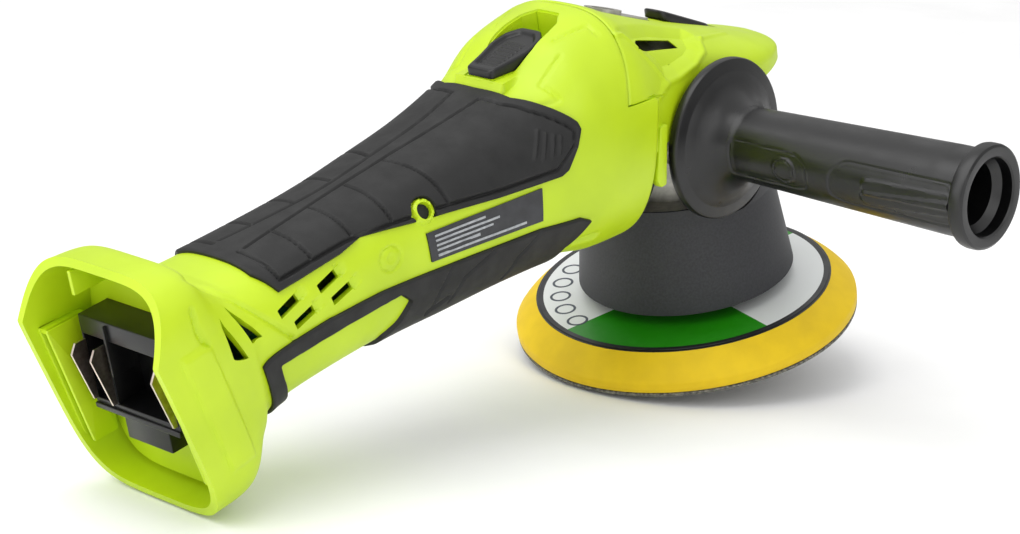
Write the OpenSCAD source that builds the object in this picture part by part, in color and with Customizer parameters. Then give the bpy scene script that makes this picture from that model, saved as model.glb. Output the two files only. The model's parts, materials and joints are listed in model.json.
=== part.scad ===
// Cordless orbital sander with a 125 mm hook-and-loop pad.
// +X points forward from the battery foot to the gear head, +Y to the left, +Z up along the spindle.
// The origin is where the spindle axis meets the underside of the pad.

/* [Pad] */
// Radius of the sanding pad
pad_r = 62.5; // [50:0.5:75]
// Thickness of the hook layer
hook_t = 1.6; // [1:0.1:2.4]
// Height of the pad's straight rim above its underside
rim_h = 5; // [3:0.5:7]
// Height of the pad's top face above its underside
pad_h = 13.7; // [12:0.1:18]
// Radius of the pad's top face
pad_top_r = 54; // [44:0.5:58]
// Thickness of the stiff backing plate
plate_t = 3.7; // [2.5:0.1:5]
// Distance between the pad's axis and the spindle's axis, which is half the orbit
orbit_r = 2.5; // [1:0.1:4]

/* [Skirt] */
// Height of the skirt's lower edge
skirt_z0 = 18.7; // [17:0.1:24]
// Height of the skirt's top, where the gear case sits
skirt_z1 = 51.5; // [46:0.1:60]
// Radius of the skirt at its lower edge
skirt_r0 = 39.2; // [36:0.1:44]
// Radius of the skirt at its top
skirt_r1 = 35; // [34:0.1:40]
// Wall of the skirt
skirt_wall = 2.5; // [1.6:0.1:3.5]

/* [Housing] */
// Wall of the plastic shells
shell_wall = 2.4; // [1.8:0.1:3]
// Extra half-width added along the whole housing
housing_extra_w = 0; // [-3:0.5:5]
// Length added to the grip between the foot and the motor
grip_extra = 0; // [-20:1:40]
// How far the rubber stands out of the plastic
rubber_t = 1.2; // [0.8:0.1:2]
// How far the rubber's bonded face reaches into the plastic
rubber_bond = 0.3; // [0.1:0.05:0.5]

/* [Motor and gears] */
// Height of the motor axis
motor_z = 94; // [92:0.1:97]
// Radius of the motor can
motor_r = 21.3; // [17:0.1:22]
// Length of the motor can
motor_len = 52; // [40:1:54]
// Teeth on the bevel wheel
wheel_teeth = 32; // [28:1:36]
// Teeth on the pinion
pinion_teeth = 10; // [9:1:11]
// Pitch radius of the bevel wheel at its outer end
wheel_pitch_r = 20; // [18:0.1:21]
// Radius of the spindle in its lower bearing
spindle_r = 6; // [5:0.1:7]

/* [Side handle] */
// Distance of the handle's axis from the spindle, forward
handle_x = -10; // [-14:0.5:0]
// Height of the handle's axis
handle_z = 80.5; // [76:0.1:83]
// Distance from the middle of the tool to the handle's seat
handle_seat = 32; // [30:0.5:36]
// Radius of the hand guard flange
flange_r = 28.3; // [22:0.1:28.8]
// Length of the handle from its seat to its open end
handle_len = 111; // [90:1:140]
// Radius of the grip tube at the flange
tube_r0 = 12.8; // [11:0.1:15]
// Radius of the grip tube at the open end
tube_r1 = 14.8; // [12:0.1:17]
// Radius of the hollow in the grip tube
hollow_r = 10.5; // [8:0.1:11]
// Major radius of the M8 handle thread
thread_r = 4; // [3:0.5:5]

/* [Controls] */
// Travel of the slide switch
switch_travel = 8; // [5:0.5:9]
// Travel of the spindle lock button
lock_travel = 3.5; // [2:0.1:3.8]

/* [Fits] */
// Radial running clearance of shafts in bearings
run_fit = 0.04; // [0.02:0.01:0.08]
// Gap around buttons and sliders
move_gap = 0.4; // [0.3:0.05:0.8]

/* [Hidden] */
$fn = 96;
eps = 0.01;

lime = "#B9DC1F";
rubber = "#2B2B2B";
steel = "#B4B6B8";
cast = "#A8A6A0";

// ---- housing surface -------------------------------------------------------------------------
// Stations from the battery foot to the gear head:
// x, half-width, lowest z, highest z and the squareness of the section.
stations = [
    [-260 - grip_extra, 33, 50, 131, 4.5],
    [-243 - grip_extra, 32, 50.5, 129, 4.5],
    [-232 - grip_extra, 30.5, 53, 121, 4],
    [-223 - grip_extra, 28.5, 62, 116, 3.5],
    [-212 - grip_extra, 26.5, 68.5, 115.5, 3],
    [-168 - grip_extra / 2, 25, 68.5, 116.3, 2.8],
    [-137 - grip_extra / 4, 26, 66.5, 118.5, 2.8],
    [-109, 28.5, 65, 121, 2.8],
    [-84, 32, 62.5, 126, 2.8],
    [-68, 34, 58, 135, 2.8],
    [-46, 34.5, 55.5, 138.5, 2.8],
    [-36, 34.5, 55.5, 139, 2.8]
];
last = len(stations) - 1;
foot_x = stations[0][0];
corner_z = 110;  // height of the foot's rearmost corner and of the step in the front seam
step_h = 2;      // height of that step

function curve(a, b, c, d, t) =
    0.5 * (2 * b + (c - a) * t + (2 * a - 5 * b + 4 * c - d) * t * t
        + (3 * b - a - 3 * c + d) * t * t * t);
function along(list, s) =
    let (i = min(floor(s), len(list) - 2))
    curve(list[max(i - 1, 0)], list[i], list[i + 1], list[min(i + 2, len(list) - 1)], s - i);

// The foot's rim leans forward above and below its rearmost corner.
function rim_lean(z) = z > corner_z ? 0.5 * (z - corner_z) : 0.24 * (corner_z - z);
rim_stations = 4;  // the lean fades out over this many stations
function lean(s, z) = rim_lean(z) * pow(max(0, 1 - s / rim_stations), 1.5);

// The seam between the shells and the head cover, seen from the side: it leans back above a step
// and is further forward below it. The solid reaches from the seam to the side given by reach.
seam_top = [-46, 139];
seam_step = [[-55, corner_z], [-40, corner_z - step_h]];
seam_foot = [-53, 53];
module seam_side(reach, gap) {
    far_x = seam_top[0] + reach;
    tilt_xz()
        linear_extrude(90, center = true)
            polygon([
                [seam_top[0] + gap + 3.4, seam_top[1] + 11], [seam_step[0][0] + gap, seam_step[0][1]],
                [seam_step[1][0] + gap, seam_step[1][1]], [seam_foot[0] + gap, seam_foot[1]],
                [far_x, seam_foot[1]], [far_x, seam_top[1] + 11]
            ]);
}

function skin(s, a, out = 0) =
    let (
        v = along(stations, s),
        w = v[1] + housing_extra_w + out,
        h = (v[3] - v[2]) / 2 + out,
        e = 2 / v[4],
        z = (v[3] + v[2]) / 2 + h * sign(sin(a)) * pow(abs(sin(a)), e)
    )
    [v[0] + lean(s, z), w * pow(abs(cos(a)), e), z];

// Joins rings of points into a closed solid; each ring holds its outer edge and then its inner one.
function ring_faces(n, m) = [
    for (i = [0 : m - 2], j = [0 : n - 1])
        each [
            [i * n + j, (i + 1) * n + (j + 1) % n, i * n + (j + 1) % n],
            [i * n + j, (i + 1) * n + j, (i + 1) * n + (j + 1) % n]
        ]
];
function strip_cap(n, base, flip) = [
    for (j = [0 : n / 2 - 2])
        let (q = [base + j, base + j + 1, base + n - 2 - j, base + n - 1 - j])
        each flip ? [[q[0], q[2], q[1]], [q[0], q[3], q[2]]]
                  : [[q[0], q[1], q[2]], [q[0], q[2], q[3]]]
];
module strip_solid(rings) {
    n = len(rings[0]);
    m = len(rings);
    polyhedron(
        [for (r = rings) each r],
        concat(ring_faces(n, m), strip_cap(n, 0, false), strip_cap(n, (m - 1) * n, true))
    );
}

// A wall that follows the housing's skin between two stations and two angles.
module skin_wall(s0, s1, steps, low, high, arcs, outer, inner) {
    strip_solid([
        for (i = [0 : steps])
            let (
                s = s0 + (s1 - s0) * i / steps,
                a0 = low[0] + (low[1] - low[0]) * i / steps,
                a1 = high[0] + (high[1] - high[0]) * i / steps
            )
            concat(
                [for (j = [0 : arcs]) skin(s, a0 + (a1 - a0) * j / arcs, outer)],
                [for (j = [arcs : -1 : 0]) skin(s, a0 + (a1 - a0) * j / arcs, inner)]
            )
    ]);
}

// ---- switch well and foot -----------------------------------------------------------------------
well_z = 127.6;        // floor of the well that the slide switch sits in
well_x0 = -95;
well_x1 = -50;
well_half_w = 9.5;
stem_half_w = 4;
well_slot_x0 = -84;
well_slot_x1 = -60;
block_front = foot_x + 12.5;
block_half_w = 19.7;
block_z0 = 79;
block_z1 = 110;
block_len = 14;
block_web = [3, 48, 44];
block_web_z = 68;
tongue_half_w = 10.4;
tongue_z = 69;
rail_in = 27;
screw_r = 1.5;
screw_spots = [
    [-146 - grip_extra / 4, 109], [-79, 67.5], [-196 - grip_extra, 80],
    [-226 - grip_extra, 109.5], [-232 - grip_extra, 60]
];
boss_r = 3.6;

module tilt_xz() rotate([90, 0, 0]) children();

module well_walls() {
    translate([0, well_half_w + shell_wall, 0])
        tilt_xz()
            linear_extrude(well_half_w + shell_wall)
                polygon([
                    [-92, well_z - 6.5], [-47.5, well_z - 4], [-47.5, 135.5],
                    [-60, 134.5], [-68, 131], [-80, 125.5], [-92, well_z - 5.2]
                ]);
}

module well_cut() {
    translate([well_x0, -1, well_z])
        cube([well_x1 - well_x0, well_half_w + 1, 30]);
    translate([well_slot_x0, -1, well_z - 15])
        cube([well_slot_x1 - well_slot_x0, stem_half_w + move_gap + 1, 20]);
}

module housing_half() {
    difference() {
        union() {
            skin_wall(0, last, 3 * last, [-90, -90], [90, 90], 16, 0, -shell_wall);
            well_walls();
            rail();
            for (p = screw_spots)
                translate([p[0], 24 + housing_extra_w, p[1]])
                    rotate([90, 0, 0])
                        cylinder(r = boss_r, h = 24 + housing_extra_w);
        }
        well_cut();
        for (p = screw_spots)
            translate([p[0], 60, p[1]])
                rotate([90, 0, 0])
                    cylinder(r = screw_r + run_fit, h = 61);
        vents();
        seam_side(40, 0);
    }
}

// A guide rail for the battery along the inside of the foot.
module rail() {
    translate([foot_x, 31.5 + housing_extra_w, 0])
        tilt_xz()
            linear_extrude(31.5 + housing_extra_w - rail_in)
                polygon([[3, 106], [13, 66], [20, 66], [20, 106]]);
}

// Air slots in the side of the foot's neck, in two rows.
vent_at = [-188 - grip_extra, 104.8];
vent_pitch = 17.5;
vent_row = [5.5, -6.6];
vent_size = [10, 2.6];
module vents() {
    for (row = [0, 1], column = [0, 1])
        translate([
            vent_at[0] + row * vent_row[0] - column * vent_pitch - vent_size[0] / 2, 15,
            vent_at[1] + row * vent_row[1] - vent_size[1] / 2
        ])
            cube([vent_size[0], 25, vent_size[1]]);
}

module housing_left() {
    color(lime)
        housing_half();
}

module housing_right() {
    color(lime)
        mirror([0, 1, 0])
            housing_half();
}

// ---- rubber -----------------------------------------------------------------------------------
// The upper panel runs over the top of the grip; its lower edge falls towards the motor.
module grip_rubber() {
    skin_wall(4.1, 8.05, 18, [36, 5], [90, 90], 8, rubber_t, -rubber_bond);
}

// The lower band wraps under the grip.
module band_rubber() {
    skin_wall(3.6, 8.2, 18, [-90, -90], [1, -18], 8, rubber_t, -rubber_bond);
}

module grip_rubber_left() {
    color(rubber)
        grip_rubber();
}

module grip_rubber_right() {
    color(rubber)
        mirror([0, 1, 0])
            grip_rubber();
}

module band_rubber_left() {
    color(rubber)
        band_rubber();
}

module band_rubber_right() {
    color(rubber)
        mirror([0, 1, 0])
            band_rubber();
}

// ---- gear head ----------------------------------------------------------------------------------
// Stations of the cover: x, half-width, highest z and squareness.
cover_stations = [
    [-58, 34.2, 137.3, 2.8],
    [-46, 34, 138.3, 2.8],
    [-34, 31.5, 132, 2.7],
    [-14, 30, 121.8, 2.6],
    [4, 30, 113.5, 2.5],
    [22, 28.5, 105.5, 2.4],
    [36, 23, 99, 2.3],
    [42.5, 15.5, 96.5, 2.2],
    [45.5, 6, 95.2, 2]
];
cover_wall = 2.2;
cover_low_angle = -4;
cover_below = 34;
arm_z0 = 76;
insert_x = -26;
insert_z = 129.1;
insert_tilt = 23;
insert_len = 30;
insert_w = 16;
insert_t = 3;
insert_boss_r = 6.5;
insert_proud = 1.6;  // how far the threaded boss stands out of the plate
insert_depth = 7.2;
lock_x = 12.2;
lock_half_w = 5.5;
lock_x0 = -2.4;
lock_x1 = 24.5;
cover_gap = 0.15;

function cover_skin(s, a, inset) =
    let (
        v = along(cover_stations, s),
        w = max(v[1] - inset, 0.5 * v[1]),
        h = max(v[2] - motor_z - inset, 0.2),
        e = 2 / v[3],
        z = motor_z + (sin(a) < 0 ? -cover_below : h) * pow(abs(sin(a)), e)
    )
    [v[0], w * sign(cos(a)) * pow(abs(cos(a)), e), z];

module cover_shell() {
    arcs = 28;
    steps = 28;
    span = 180 - 2 * cover_low_angle;
    strip_solid([
        for (i = [0 : steps])
            let (s = (len(cover_stations) - 1) * i / steps)
            concat(
                [for (j = [0 : arcs]) cover_skin(s, cover_low_angle + span * j / arcs, 0)],
                [for (j = [arcs : -1 : 0])
                    cover_skin(s, cover_low_angle + span * j / arcs, cover_wall)]
            )
    ]);
}

module insert_frame() {
    translate([insert_x, 0, insert_z])
        rotate([0, insert_tilt, 0])
            children();
}

module head_cover() {
    color(lime)
        difference() {
            union() {
                cover_shell();
                for (side = [-1, 1])
                    translate([0, side * 31.6 + 1.2, 0])
                        tilt_xz()
                            linear_extrude(2.4)
                                polygon([
                                    [-41, 96], [-46, arm_z0 + 2], [-44, arm_z0],
                                    [-41.5, arm_z0], [-36.5, 96]
                                ]);
            }
            seam_side(-40, cover_gap);
            insert_frame()
                translate([-insert_len / 2 - cover_gap, -insert_w / 2 - cover_gap, -12])
                    cube([insert_len + 2 * cover_gap, insert_w + 2 * cover_gap, 20]);
            translate([handle_x, 60, handle_z])
                rotate([90, 0, 0])
                    cylinder(r = handle_boss_r + move_gap, h = 120);
            translate([lock_x0 - move_gap, -lock_half_w - move_gap, 90])
                cube([lock_x1 - lock_x0 + 2 * move_gap, 2 * (lock_half_w + move_gap), 40]);
        }
}

module thread_insert() {
    color(cast)
        insert_frame()
            difference() {
                union() {
                    translate([-insert_len / 2, -insert_w / 2, -insert_t - insert_proud])
                        cube([insert_len, insert_w, insert_t]);
                    translate([0, 0, -insert_depth])
                        cylinder(r = insert_boss_r, h = insert_depth);
                }
                translate([0, 0, -insert_depth - 1])
                    cylinder(r = thread_r, h = insert_depth + 2);
            }
}

drum_r = 26.5;
drum_top = 98;
case_cavity_r = 23.5;
case_floor = skirt_z1;
flange_h = 5.5;
case_flange_r = skirt_r1 - 0.8;
nose_x = 24;
nose_r = 16;
motor_tube_r = 25.2;
motor_tube_len = 22;
fan_space_r = 19;
nose_z = 68;
nose_h = 22;
upper_boss_top = 105;
upper_bearing_r = 8.5;
upper_bearing_h = 6;
upper_seat_top = 103.5;
upper_boss_r = 10;
retainer_r = case_cavity_r - run_fit;
lower_bearing_r = 16;
lower_bearing_h = 10;
lower_bearing_z = case_floor + 2.5;
front_bearing_r = 11;
front_bearing_w = 7;
plate_x = -46;
plate_h = 4;
plate_r = 30;
plate_screw_r = 27;
handle_boss_r = 14;
thread_depth = 9;
pin_r = 1.6;
spring_r = 2.4;
spring_wire = 0.6;
screw_pcd_r = 29.5;

module gear_case() {
    color(cast)
        difference() {
            union() {
                translate([0, 0, case_floor])
                    cylinder(r = case_flange_r, h = flange_h);
                translate([0, 0, case_floor])
                    cylinder(r = drum_r, h = drum_top - case_floor);
                translate([nose_x, 0, nose_z])
                    cylinder(r = nose_r, h = nose_h);
                translate([0, 0, drum_top - 2])
                    cylinder(r = upper_boss_r, h = upper_boss_top - drum_top + 2);
                translate([plate_x + plate_h, 0, motor_z])
                    rotate([0, 90, 0])
                        cylinder(r = motor_tube_r, h = motor_tube_len);
                for (side = [0, 1])
                    mirror([0, side, 0])
                        translate([handle_x, 0, handle_z])
                            rotate([-90, 0, 0])
                                cylinder(r = handle_boss_r, h = handle_seat);
            }
            translate([0, 0, case_floor - 1])
                cylinder(r = case_cavity_r, h = drum_top - 2 - case_floor + 1);
            translate([0, 0, drum_top - 10])
                cylinder(r = upper_bearing_r, h = upper_seat_top - drum_top + 10);
            translate([plate_x + plate_h - 1, 0, motor_z])
                rotate([0, 90, 0])
                    cylinder(r = fan_space_r, h = 30);
            translate([lock_x, 0, drum_top - 10])
                cylinder(r = pin_r + 0.1, h = 30);
            translate([lock_x, 0, drum_top])
                cylinder(r = spring_r + spring_wire, h = 20);
            for (side = [0, 1])
                mirror([0, side, 0])
                    translate([handle_x, handle_seat - thread_depth, handle_z])
                        rotate([-90, 0, 0])
                            cylinder(r = thread_r, h = thread_depth + 1);
            for (side = [0, 1])
                mirror([0, side, 0])
                    translate([handle_x, handle_seat, handle_z])
                        rotate([-90, 0, 0])
                            cylinder(r = flange_r + move_gap, h = 10);
            for (a = [45 : 90 : 315])
                rotate(a)
                    translate([screw_pcd_r, 0, case_floor - 1])
                        cylinder(r = screw_r + run_fit, h = flange_h);
        }
}

module bearing_plate() {
    color(cast)
        translate([plate_x, 0, motor_z])
            rotate([0, 90, 0])
                difference() {
                    union() {
                        cylinder(r = plate_r, h = plate_h - cover_gap);
                        cylinder(r = fan_space_r - run_fit, h = 10);
                    }
                    translate([0, 0, -1])
                        cylinder(r = 6, h = 20);
                    translate([0, 0, 2.5])
                        cylinder(r = front_bearing_r, h = front_bearing_w + 1);
                    for (a = [45 : 90 : 315])
                        rotate(a)
                            translate([plate_screw_r, 0, -1])
                                cylinder(r = screw_r + run_fit, h = 10);
                }
}

module bearing_retainer() {
    color(steel)
        difference() {
            union() {
                translate([0, 0, case_floor])
                    cylinder(r = retainer_r, h = 4);
                translate([0, 0, case_floor])
                    cylinder(r = lower_bearing_r + 2.5, h = lower_bearing_h + 2.5);
            }
            translate([0, 0, case_floor - 1])
                cylinder(r = lower_bearing_r - 3, h = 30);
            translate([0, 0, lower_bearing_z])
                cylinder(r = lower_bearing_r, h = 30);
        }
}

module skirt() {
    color("#33343A")
        difference() {
            rotate_extrude()
                polygon([
                    [skirt_r0 - skirt_wall, skirt_z0], [skirt_r0, skirt_z0],
                    [skirt_r1, skirt_z1], [lower_bearing_r, skirt_z1],
                    [lower_bearing_r, skirt_z1 - skirt_wall],
                    [skirt_r1 - skirt_wall, skirt_z1 - skirt_wall]
                ]);
            for (a = [45 : 90 : 315])
                rotate(a)
                    translate([screw_pcd_r, 0, skirt_z1 - 10])
                        cylinder(r = screw_r + run_fit, h = 20);
        }
}

// ---- foot electrics -----------------------------------------------------------------------------
module terminal_block() {
    color("#1C1C1C") {
        translate([block_front, -block_half_w, block_z0])
            cube([block_len, 2 * block_half_w, block_z1 - block_z0]);
        translate([block_front + block_len, -block_web[1] / 2, block_web_z])
            cube(block_web);
        translate([block_front + 2, -tongue_half_w, tongue_z])
            cube([block_len - 2, 2 * tongue_half_w, block_z0 - tongue_z]);
    }
}

blade_y = [-18.5, 9.5, 18.5];
blade_t = 0.8;
module terminal_blades() {
    color("#C9B6A4")
        for (y = blade_y)
            translate([block_front, y + blade_t / 2, 0])
                tilt_xz()
                    linear_extrude(blade_t)
                        polygon([
                            [0, 82], [0, 102], [-4, 102], [-6, 99], [-1.6, 82]
                        ]);
}

module circuit_board() {
    color("#1E6A3A")
        translate([-216 - grip_extra, -16, 84]) {
            cube([34, 32, 1.6]);
            translate([4, 6, 1.6])
                cube([10, 10, 6]);
            translate([20, 17, 1.6])
                cube([9, 9, 8]);
        }
}

switch_x = -141.5;
switch_size = [18, 18, 22];
switch_z = 88;
lead_y = 6;
lead_r = 1.3;
module switch_module() {
    color("#202020")
        translate([switch_x, -switch_size[1] / 2, switch_z])
            cube(switch_size);
}

// A round lead swept along a short list of points.
function unit(v) = v / norm(v);
function lead_ring(p, d, r, sides) =
    let (
        u = unit(cross(d, abs(d[1]) > 0.9 ? [1, 0, 0] : [0, 1, 0])),
        w = cross(unit(d), u)
    )
    [for (k = [0 : sides - 1]) p + r * (cos(360 * k / sides) * u + sin(360 * k / sides) * w)];
module lead(points, r) {
    sides = 8;
    m = len(points);
    n = (m - 1) * 3;
    route = [for (i = [0 : n]) along(points, i / 3)];
    rings = [
        for (i = [0 : n])
            lead_ring(route[i], route[min(i + 1, n)] - route[max(i - 1, 0)], r, sides)
    ];
    polyhedron(
        [for (q = rings) each q],
        concat(
            ring_faces(sides, n + 1),
            [[for (k = [0 : sides - 1]) k]],
            [[for (k = [sides - 1 : -1 : 0]) n * sides + k]]
        )
    );
}

module battery_leads() {
    color("#B02020")
        for (y = [-lead_y, lead_y])
            lead([
                [block_front + block_len + block_web[0], y, 100], [-218 - grip_extra, y, 100],
                [-196 - grip_extra, y, 99], [-170 - grip_extra / 2, y, 98], [switch_x, y, 98]
            ], lead_r);
}

module motor_leads() {
    color("#202020")
        for (y = [-lead_y, lead_y])
            lead([
                [switch_x + switch_size[0], y, motor_z], [-122, y, motor_z],
                [can_x0 - cap_len, y, motor_z]
            ], lead_r);
}

module rating_plate() {
    color("#303030")
        mirror([0, 1, 0])
            skin_wall(5.72, 7.42, 6, [-1, -7.6], [11.8, 4.6], 4, 0.5, -rubber_bond);
}

// ---- fasteners ----------------------------------------------------------------------------------
screw_head_r = 2.8;
screw_head_h = 2;
skirt_screw_len = 7;
housing_screw_len = 33;
module screw(shank) {
    cylinder(r = screw_r, h = shank + eps);
    translate([0, 0, shank])
        difference() {
            cylinder(r = screw_head_r, h = screw_head_h);
            translate([0, 0, screw_head_h / 2])
                cylinder(r = screw_head_r * 0.45, h = screw_head_h, $fn = 6);
        }
}

module housing_screws() {
    color(steel)
        for (p = screw_spots)
            translate([p[0], 0, p[1]])
                rotate([90, 0, 0])
                    translate([0, 0, -14])
                        cylinder(r = screw_r, h = housing_screw_len);
}

module case_screws() {
    color(steel)
        translate([plate_x, 0, motor_z])
            rotate([0, 90, 0])
                for (a = [45 : 90 : 315])
                    rotate(a)
                        translate([plate_screw_r, 0, -0.4])
                            rotate([180, 0, 0])
                                translate([0, 0, -plate_h])
                                    screw(plate_h);
}

module skirt_screws() {
    color(steel)
        for (a = [45 : 90 : 315])
            rotate(a)
                translate([screw_pcd_r, 0, skirt_z1 - skirt_wall])
                    rotate([180, 0, 0])
                        translate([0, 0, -skirt_screw_len])
                            screw(skirt_screw_len);
}

// ---- motor --------------------------------------------------------------------------------------
can_x1 = -60;
can_x0 = can_x1 - motor_len;
can_wall = 1.6;
magnet_t = 3.5;
armature_r = motor_r - can_wall - magnet_t - 0.6;
shaft_r = 2.5;
shaft_front_r = 4;
rear_bearing_r = 8;
rear_bearing_w = 5;
cap_len = 7;
cap_r = 17;

module on_motor_axis(x) {
    translate([x, 0, motor_z])
        rotate([0, 90, 0])
            children();
}

module motor_can() {
    color(steel)
        on_motor_axis(can_x0)
            difference() {
                cylinder(r = motor_r, h = motor_len);
                translate([0, 0, -1])
                    cylinder(r = motor_r - can_wall, h = motor_len - can_wall + 1);
                cylinder(r = 7, h = motor_len + 1);
                for (a = [0 : 60 : 300])
                    rotate(a)
                        translate([13, 0, motor_len - 5])
                            cylinder(r = 3, h = 10);
            }
}

module motor_magnets() {
    color("#3A3A3E")
        on_motor_axis(can_x0 + 10)
            difference() {
                cylinder(r = motor_r - can_wall - 0.02, h = motor_len - 18);
                translate([0, 0, -1])
                    cylinder(r = motor_r - can_wall - magnet_t, h = motor_len);
                translate([-40, -6, -1])
                    cube([80, 12, motor_len]);
            }
}

module motor_end_cap() {
    color("#26282C")
        on_motor_axis(can_x0 - cap_len)
            difference() {
                union() {
                    cylinder(r = cap_r, h = cap_len);
                    translate([0, 0, cap_len - 2])
                        cylinder(r = motor_r - 0.5, h = 2);
                }
                translate([0, 0, 1])
                    cylinder(r = rear_bearing_r, h = rear_bearing_w);
                translate([0, 0, 4])
                    cylinder(r = 5, h = 10);
            }
}

commutator_r = 8;
brush_size = [4, 6, 5];
module carbon_brushes() {
    color("#1A1A1A")
        for (side = [-1, 1])
            translate([can_x0 + 3, side * (commutator_r + 0.3 + brush_size[1] / 2), motor_z])
                cube(brush_size, center = true);
}

module ball_bearing(outer, inner, w) {
    difference() {
        cylinder(r = outer - run_fit, h = w);
        translate([0, 0, -1])
            cylinder(r = inner, h = w + 2);
        for (z = [-1, w - 0.6])
            translate([0, 0, z])
                difference() {
                    cylinder(r = outer - (outer - inner) * 0.28, h = 1.6);
                    translate([0, 0, -1])
                        cylinder(r = inner + (outer - inner) * 0.28, h = 4);
                }
    }
}

module motor_rear_bearing() {
    color(steel)
        on_motor_axis(can_x0 - cap_len + 1)
            ball_bearing(rear_bearing_r, shaft_r, rear_bearing_w);
}

module motor_front_bearing() {
    color(steel)
        on_motor_axis(plate_x + 2.5)
            ball_bearing(front_bearing_r, shaft_front_r, front_bearing_w);
}

module rotor_shaft() {
    color("#C4C6C8") {
        on_motor_axis(can_x0 - cap_len + 1.4)
            cylinder(r = shaft_r - run_fit, h = -can_x0 + cap_len - 1.4 - 14.5);
        on_motor_axis(-58)
            cylinder(r = shaft_front_r - run_fit, h = 30);
    }
}

core_x0 = can_x0 + 12;
core_len = motor_len - 22;
module armature_core() {
    color("#77797C")
        on_motor_axis(core_x0)
            difference() {
                cylinder(r = armature_r, h = core_len);
                translate([0, 0, -1])
                    cylinder(r = shaft_r - run_fit, h = core_len + 2);
                for (a = [0 : 45 : 315])
                    rotate(a)
                        translate([armature_r - 4, -1, -1])
                            cube([8, 2, core_len + 2]);
            }
}

module armature_windings() {
    color("#B5642D")
        for (x = [core_x0 - 4, core_x0 + core_len])
            on_motor_axis(x)
                difference() {
                    cylinder(r = armature_r - 2, h = 4);
                    translate([0, 0, -1])
                        cylinder(r = shaft_r - run_fit, h = 6);
                }
}

module commutator() {
    color("#C07A45")
        on_motor_axis(can_x0 + 0.2)
            difference() {
                cylinder(r = commutator_r, h = 7.6);
                translate([0, 0, -1])
                    cylinder(r = shaft_r - run_fit, h = 10);
                for (a = [0 : 30 : 330])
                    rotate(a)
                        translate([commutator_r - 1, -0.2, -1])
                            cube([2, 0.4, 10]);
            }
}

fan_r = 26;
fan_x = -57.5;
fan_w = 8.5;
module cooling_fan() {
    color("#2E3034")
        on_motor_axis(fan_x)
            difference() {
                union() {
                    translate([0, 0, fan_w - 1.5])
                        cylinder(r = fan_r, h = 1.5);
                    cylinder(r = 8, h = fan_w);
                    for (a = [0 : 30 : 330])
                        rotate(a)
                            translate([7, -0.6, 1])
                                rotate(12)
                                    cube([fan_r - 8.2, 1.2, fan_w - 1.2]);
                }
                translate([0, 0, -1])
                    cylinder(r = shaft_front_r - run_fit, h = 20);
            }
}

// ---- bevel gears --------------------------------------------------------------------------------
pinion_pitch_r = wheel_pitch_r * pinion_teeth / wheel_teeth;
cone_len = norm([wheel_pitch_r, pinion_pitch_r]);
face_w = 5;
tooth_pitch = 2 * PI * wheel_pitch_r / wheel_teeth;
tooth_up = 0.28 * tooth_pitch;
tooth_down = 0.38 * tooth_pitch;
tooth_tip_w = 0.23 * tooth_pitch;
tooth_root_w = 0.58 * tooth_pitch;

// Toothed ring of a bevel gear whose cone apex is at the origin and whose axis is Z.
// The body lies below the apex, down to the plane at back_z and in to the radius core_r.
module bevel_teeth(teeth, pitch_r, core_r, back_z) {
    lean_angle = asin(pitch_r / cone_len);
    function point(k, share, up, w) =
        let (
            l = cone_len * share,
            rad = l * sin(lean_angle) + up * share * cos(lean_angle),
            z = -l * cos(lean_angle) + up * share * sin(lean_angle),
            a = 360 * k / teeth + w * share / rad * 90 / PI
        )
        [rad * cos(a), rad * sin(a), z];
    function ring(share) = [
        for (k = [0 : teeth - 1])
            each [
                point(k, share, -tooth_down, -tooth_root_w), point(k, share, tooth_up, -tooth_tip_w),
                point(k, share, tooth_up, tooth_tip_w), point(k, share, -tooth_down, tooth_root_w)
            ]
    ];
    function flat(points, r) = [
        for (p = points)
            let (v = [p[0], p[1]] * r / norm([p[0], p[1]]))
            [v[0], v[1], back_z]
    ];
    outer = ring(1);
    inner = ring(1 - face_w / cone_len);
    root_r = norm([outer[0][0], outer[0][1]]);
    n = 4 * teeth;
    polyhedron(
        concat(outer, inner, flat(inner, core_r), flat(outer, root_r)),
        [for (f = ring_faces(n, 5)) [for (i = f) i % (4 * n)]]
    );
}

wheel_back = -12;
web_r = 15;
web_top = -6.2;
lock_hole_r = 2.1;
wheel_bore_r = 5;
module bevel_wheel() {
    color("#8E9094")
        translate([0, 0, motor_z])
            difference() {
                union() {
                    bevel_teeth(wheel_teeth, wheel_pitch_r, web_r - 0.5, wheel_back);
                    translate([0, 0, wheel_back])
                        cylinder(r = web_r, h = web_top - wheel_back);
                }
                translate([0, 0, wheel_back - 1])
                    cylinder(r = wheel_bore_r, h = 20);
                for (a = [0 : 45 : 315])
                    rotate(a)
                        translate([lock_x, 0, wheel_back - 1])
                            cylinder(r = lock_hole_r, h = 20);
            }
}

// The pinion's axis is X and a gap of its teeth faces down at rest.
module drive_pinion() {
    color("#9A9CA0")
        translate([0, 0, motor_z])
            rotate([0, 90, 0])
                rotate(180 / pinion_teeth)
                    difference() {
                        union() {
                            bevel_teeth(pinion_teeth, pinion_pitch_r, 3, -wheel_pitch_r - 2);
                            translate([0, 0, -28])
                                cylinder(r = 4.5, h = 9);
                        }
                        translate([0, 0, -40])
                            cylinder(r = shaft_r - run_fit, h = 40);
                        translate([0, 0, -40])
                            cylinder(r = shaft_front_r - run_fit, h = 12);
                    }
}

// ---- spindle and pad ------------------------------------------------------------------------------
spindle_top_r = 3;
wheel_seat_z = motor_z + wheel_back;
weight_z0 = 21.5;
weight_z1 = 46;
pad_bearing_r = 13;
pad_bearing_h = 12;
hub_r = 5;
hub_flange_r = 9.5;
stud_r = 4;
label_in_r = 20;
label_t = 0.3;

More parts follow.
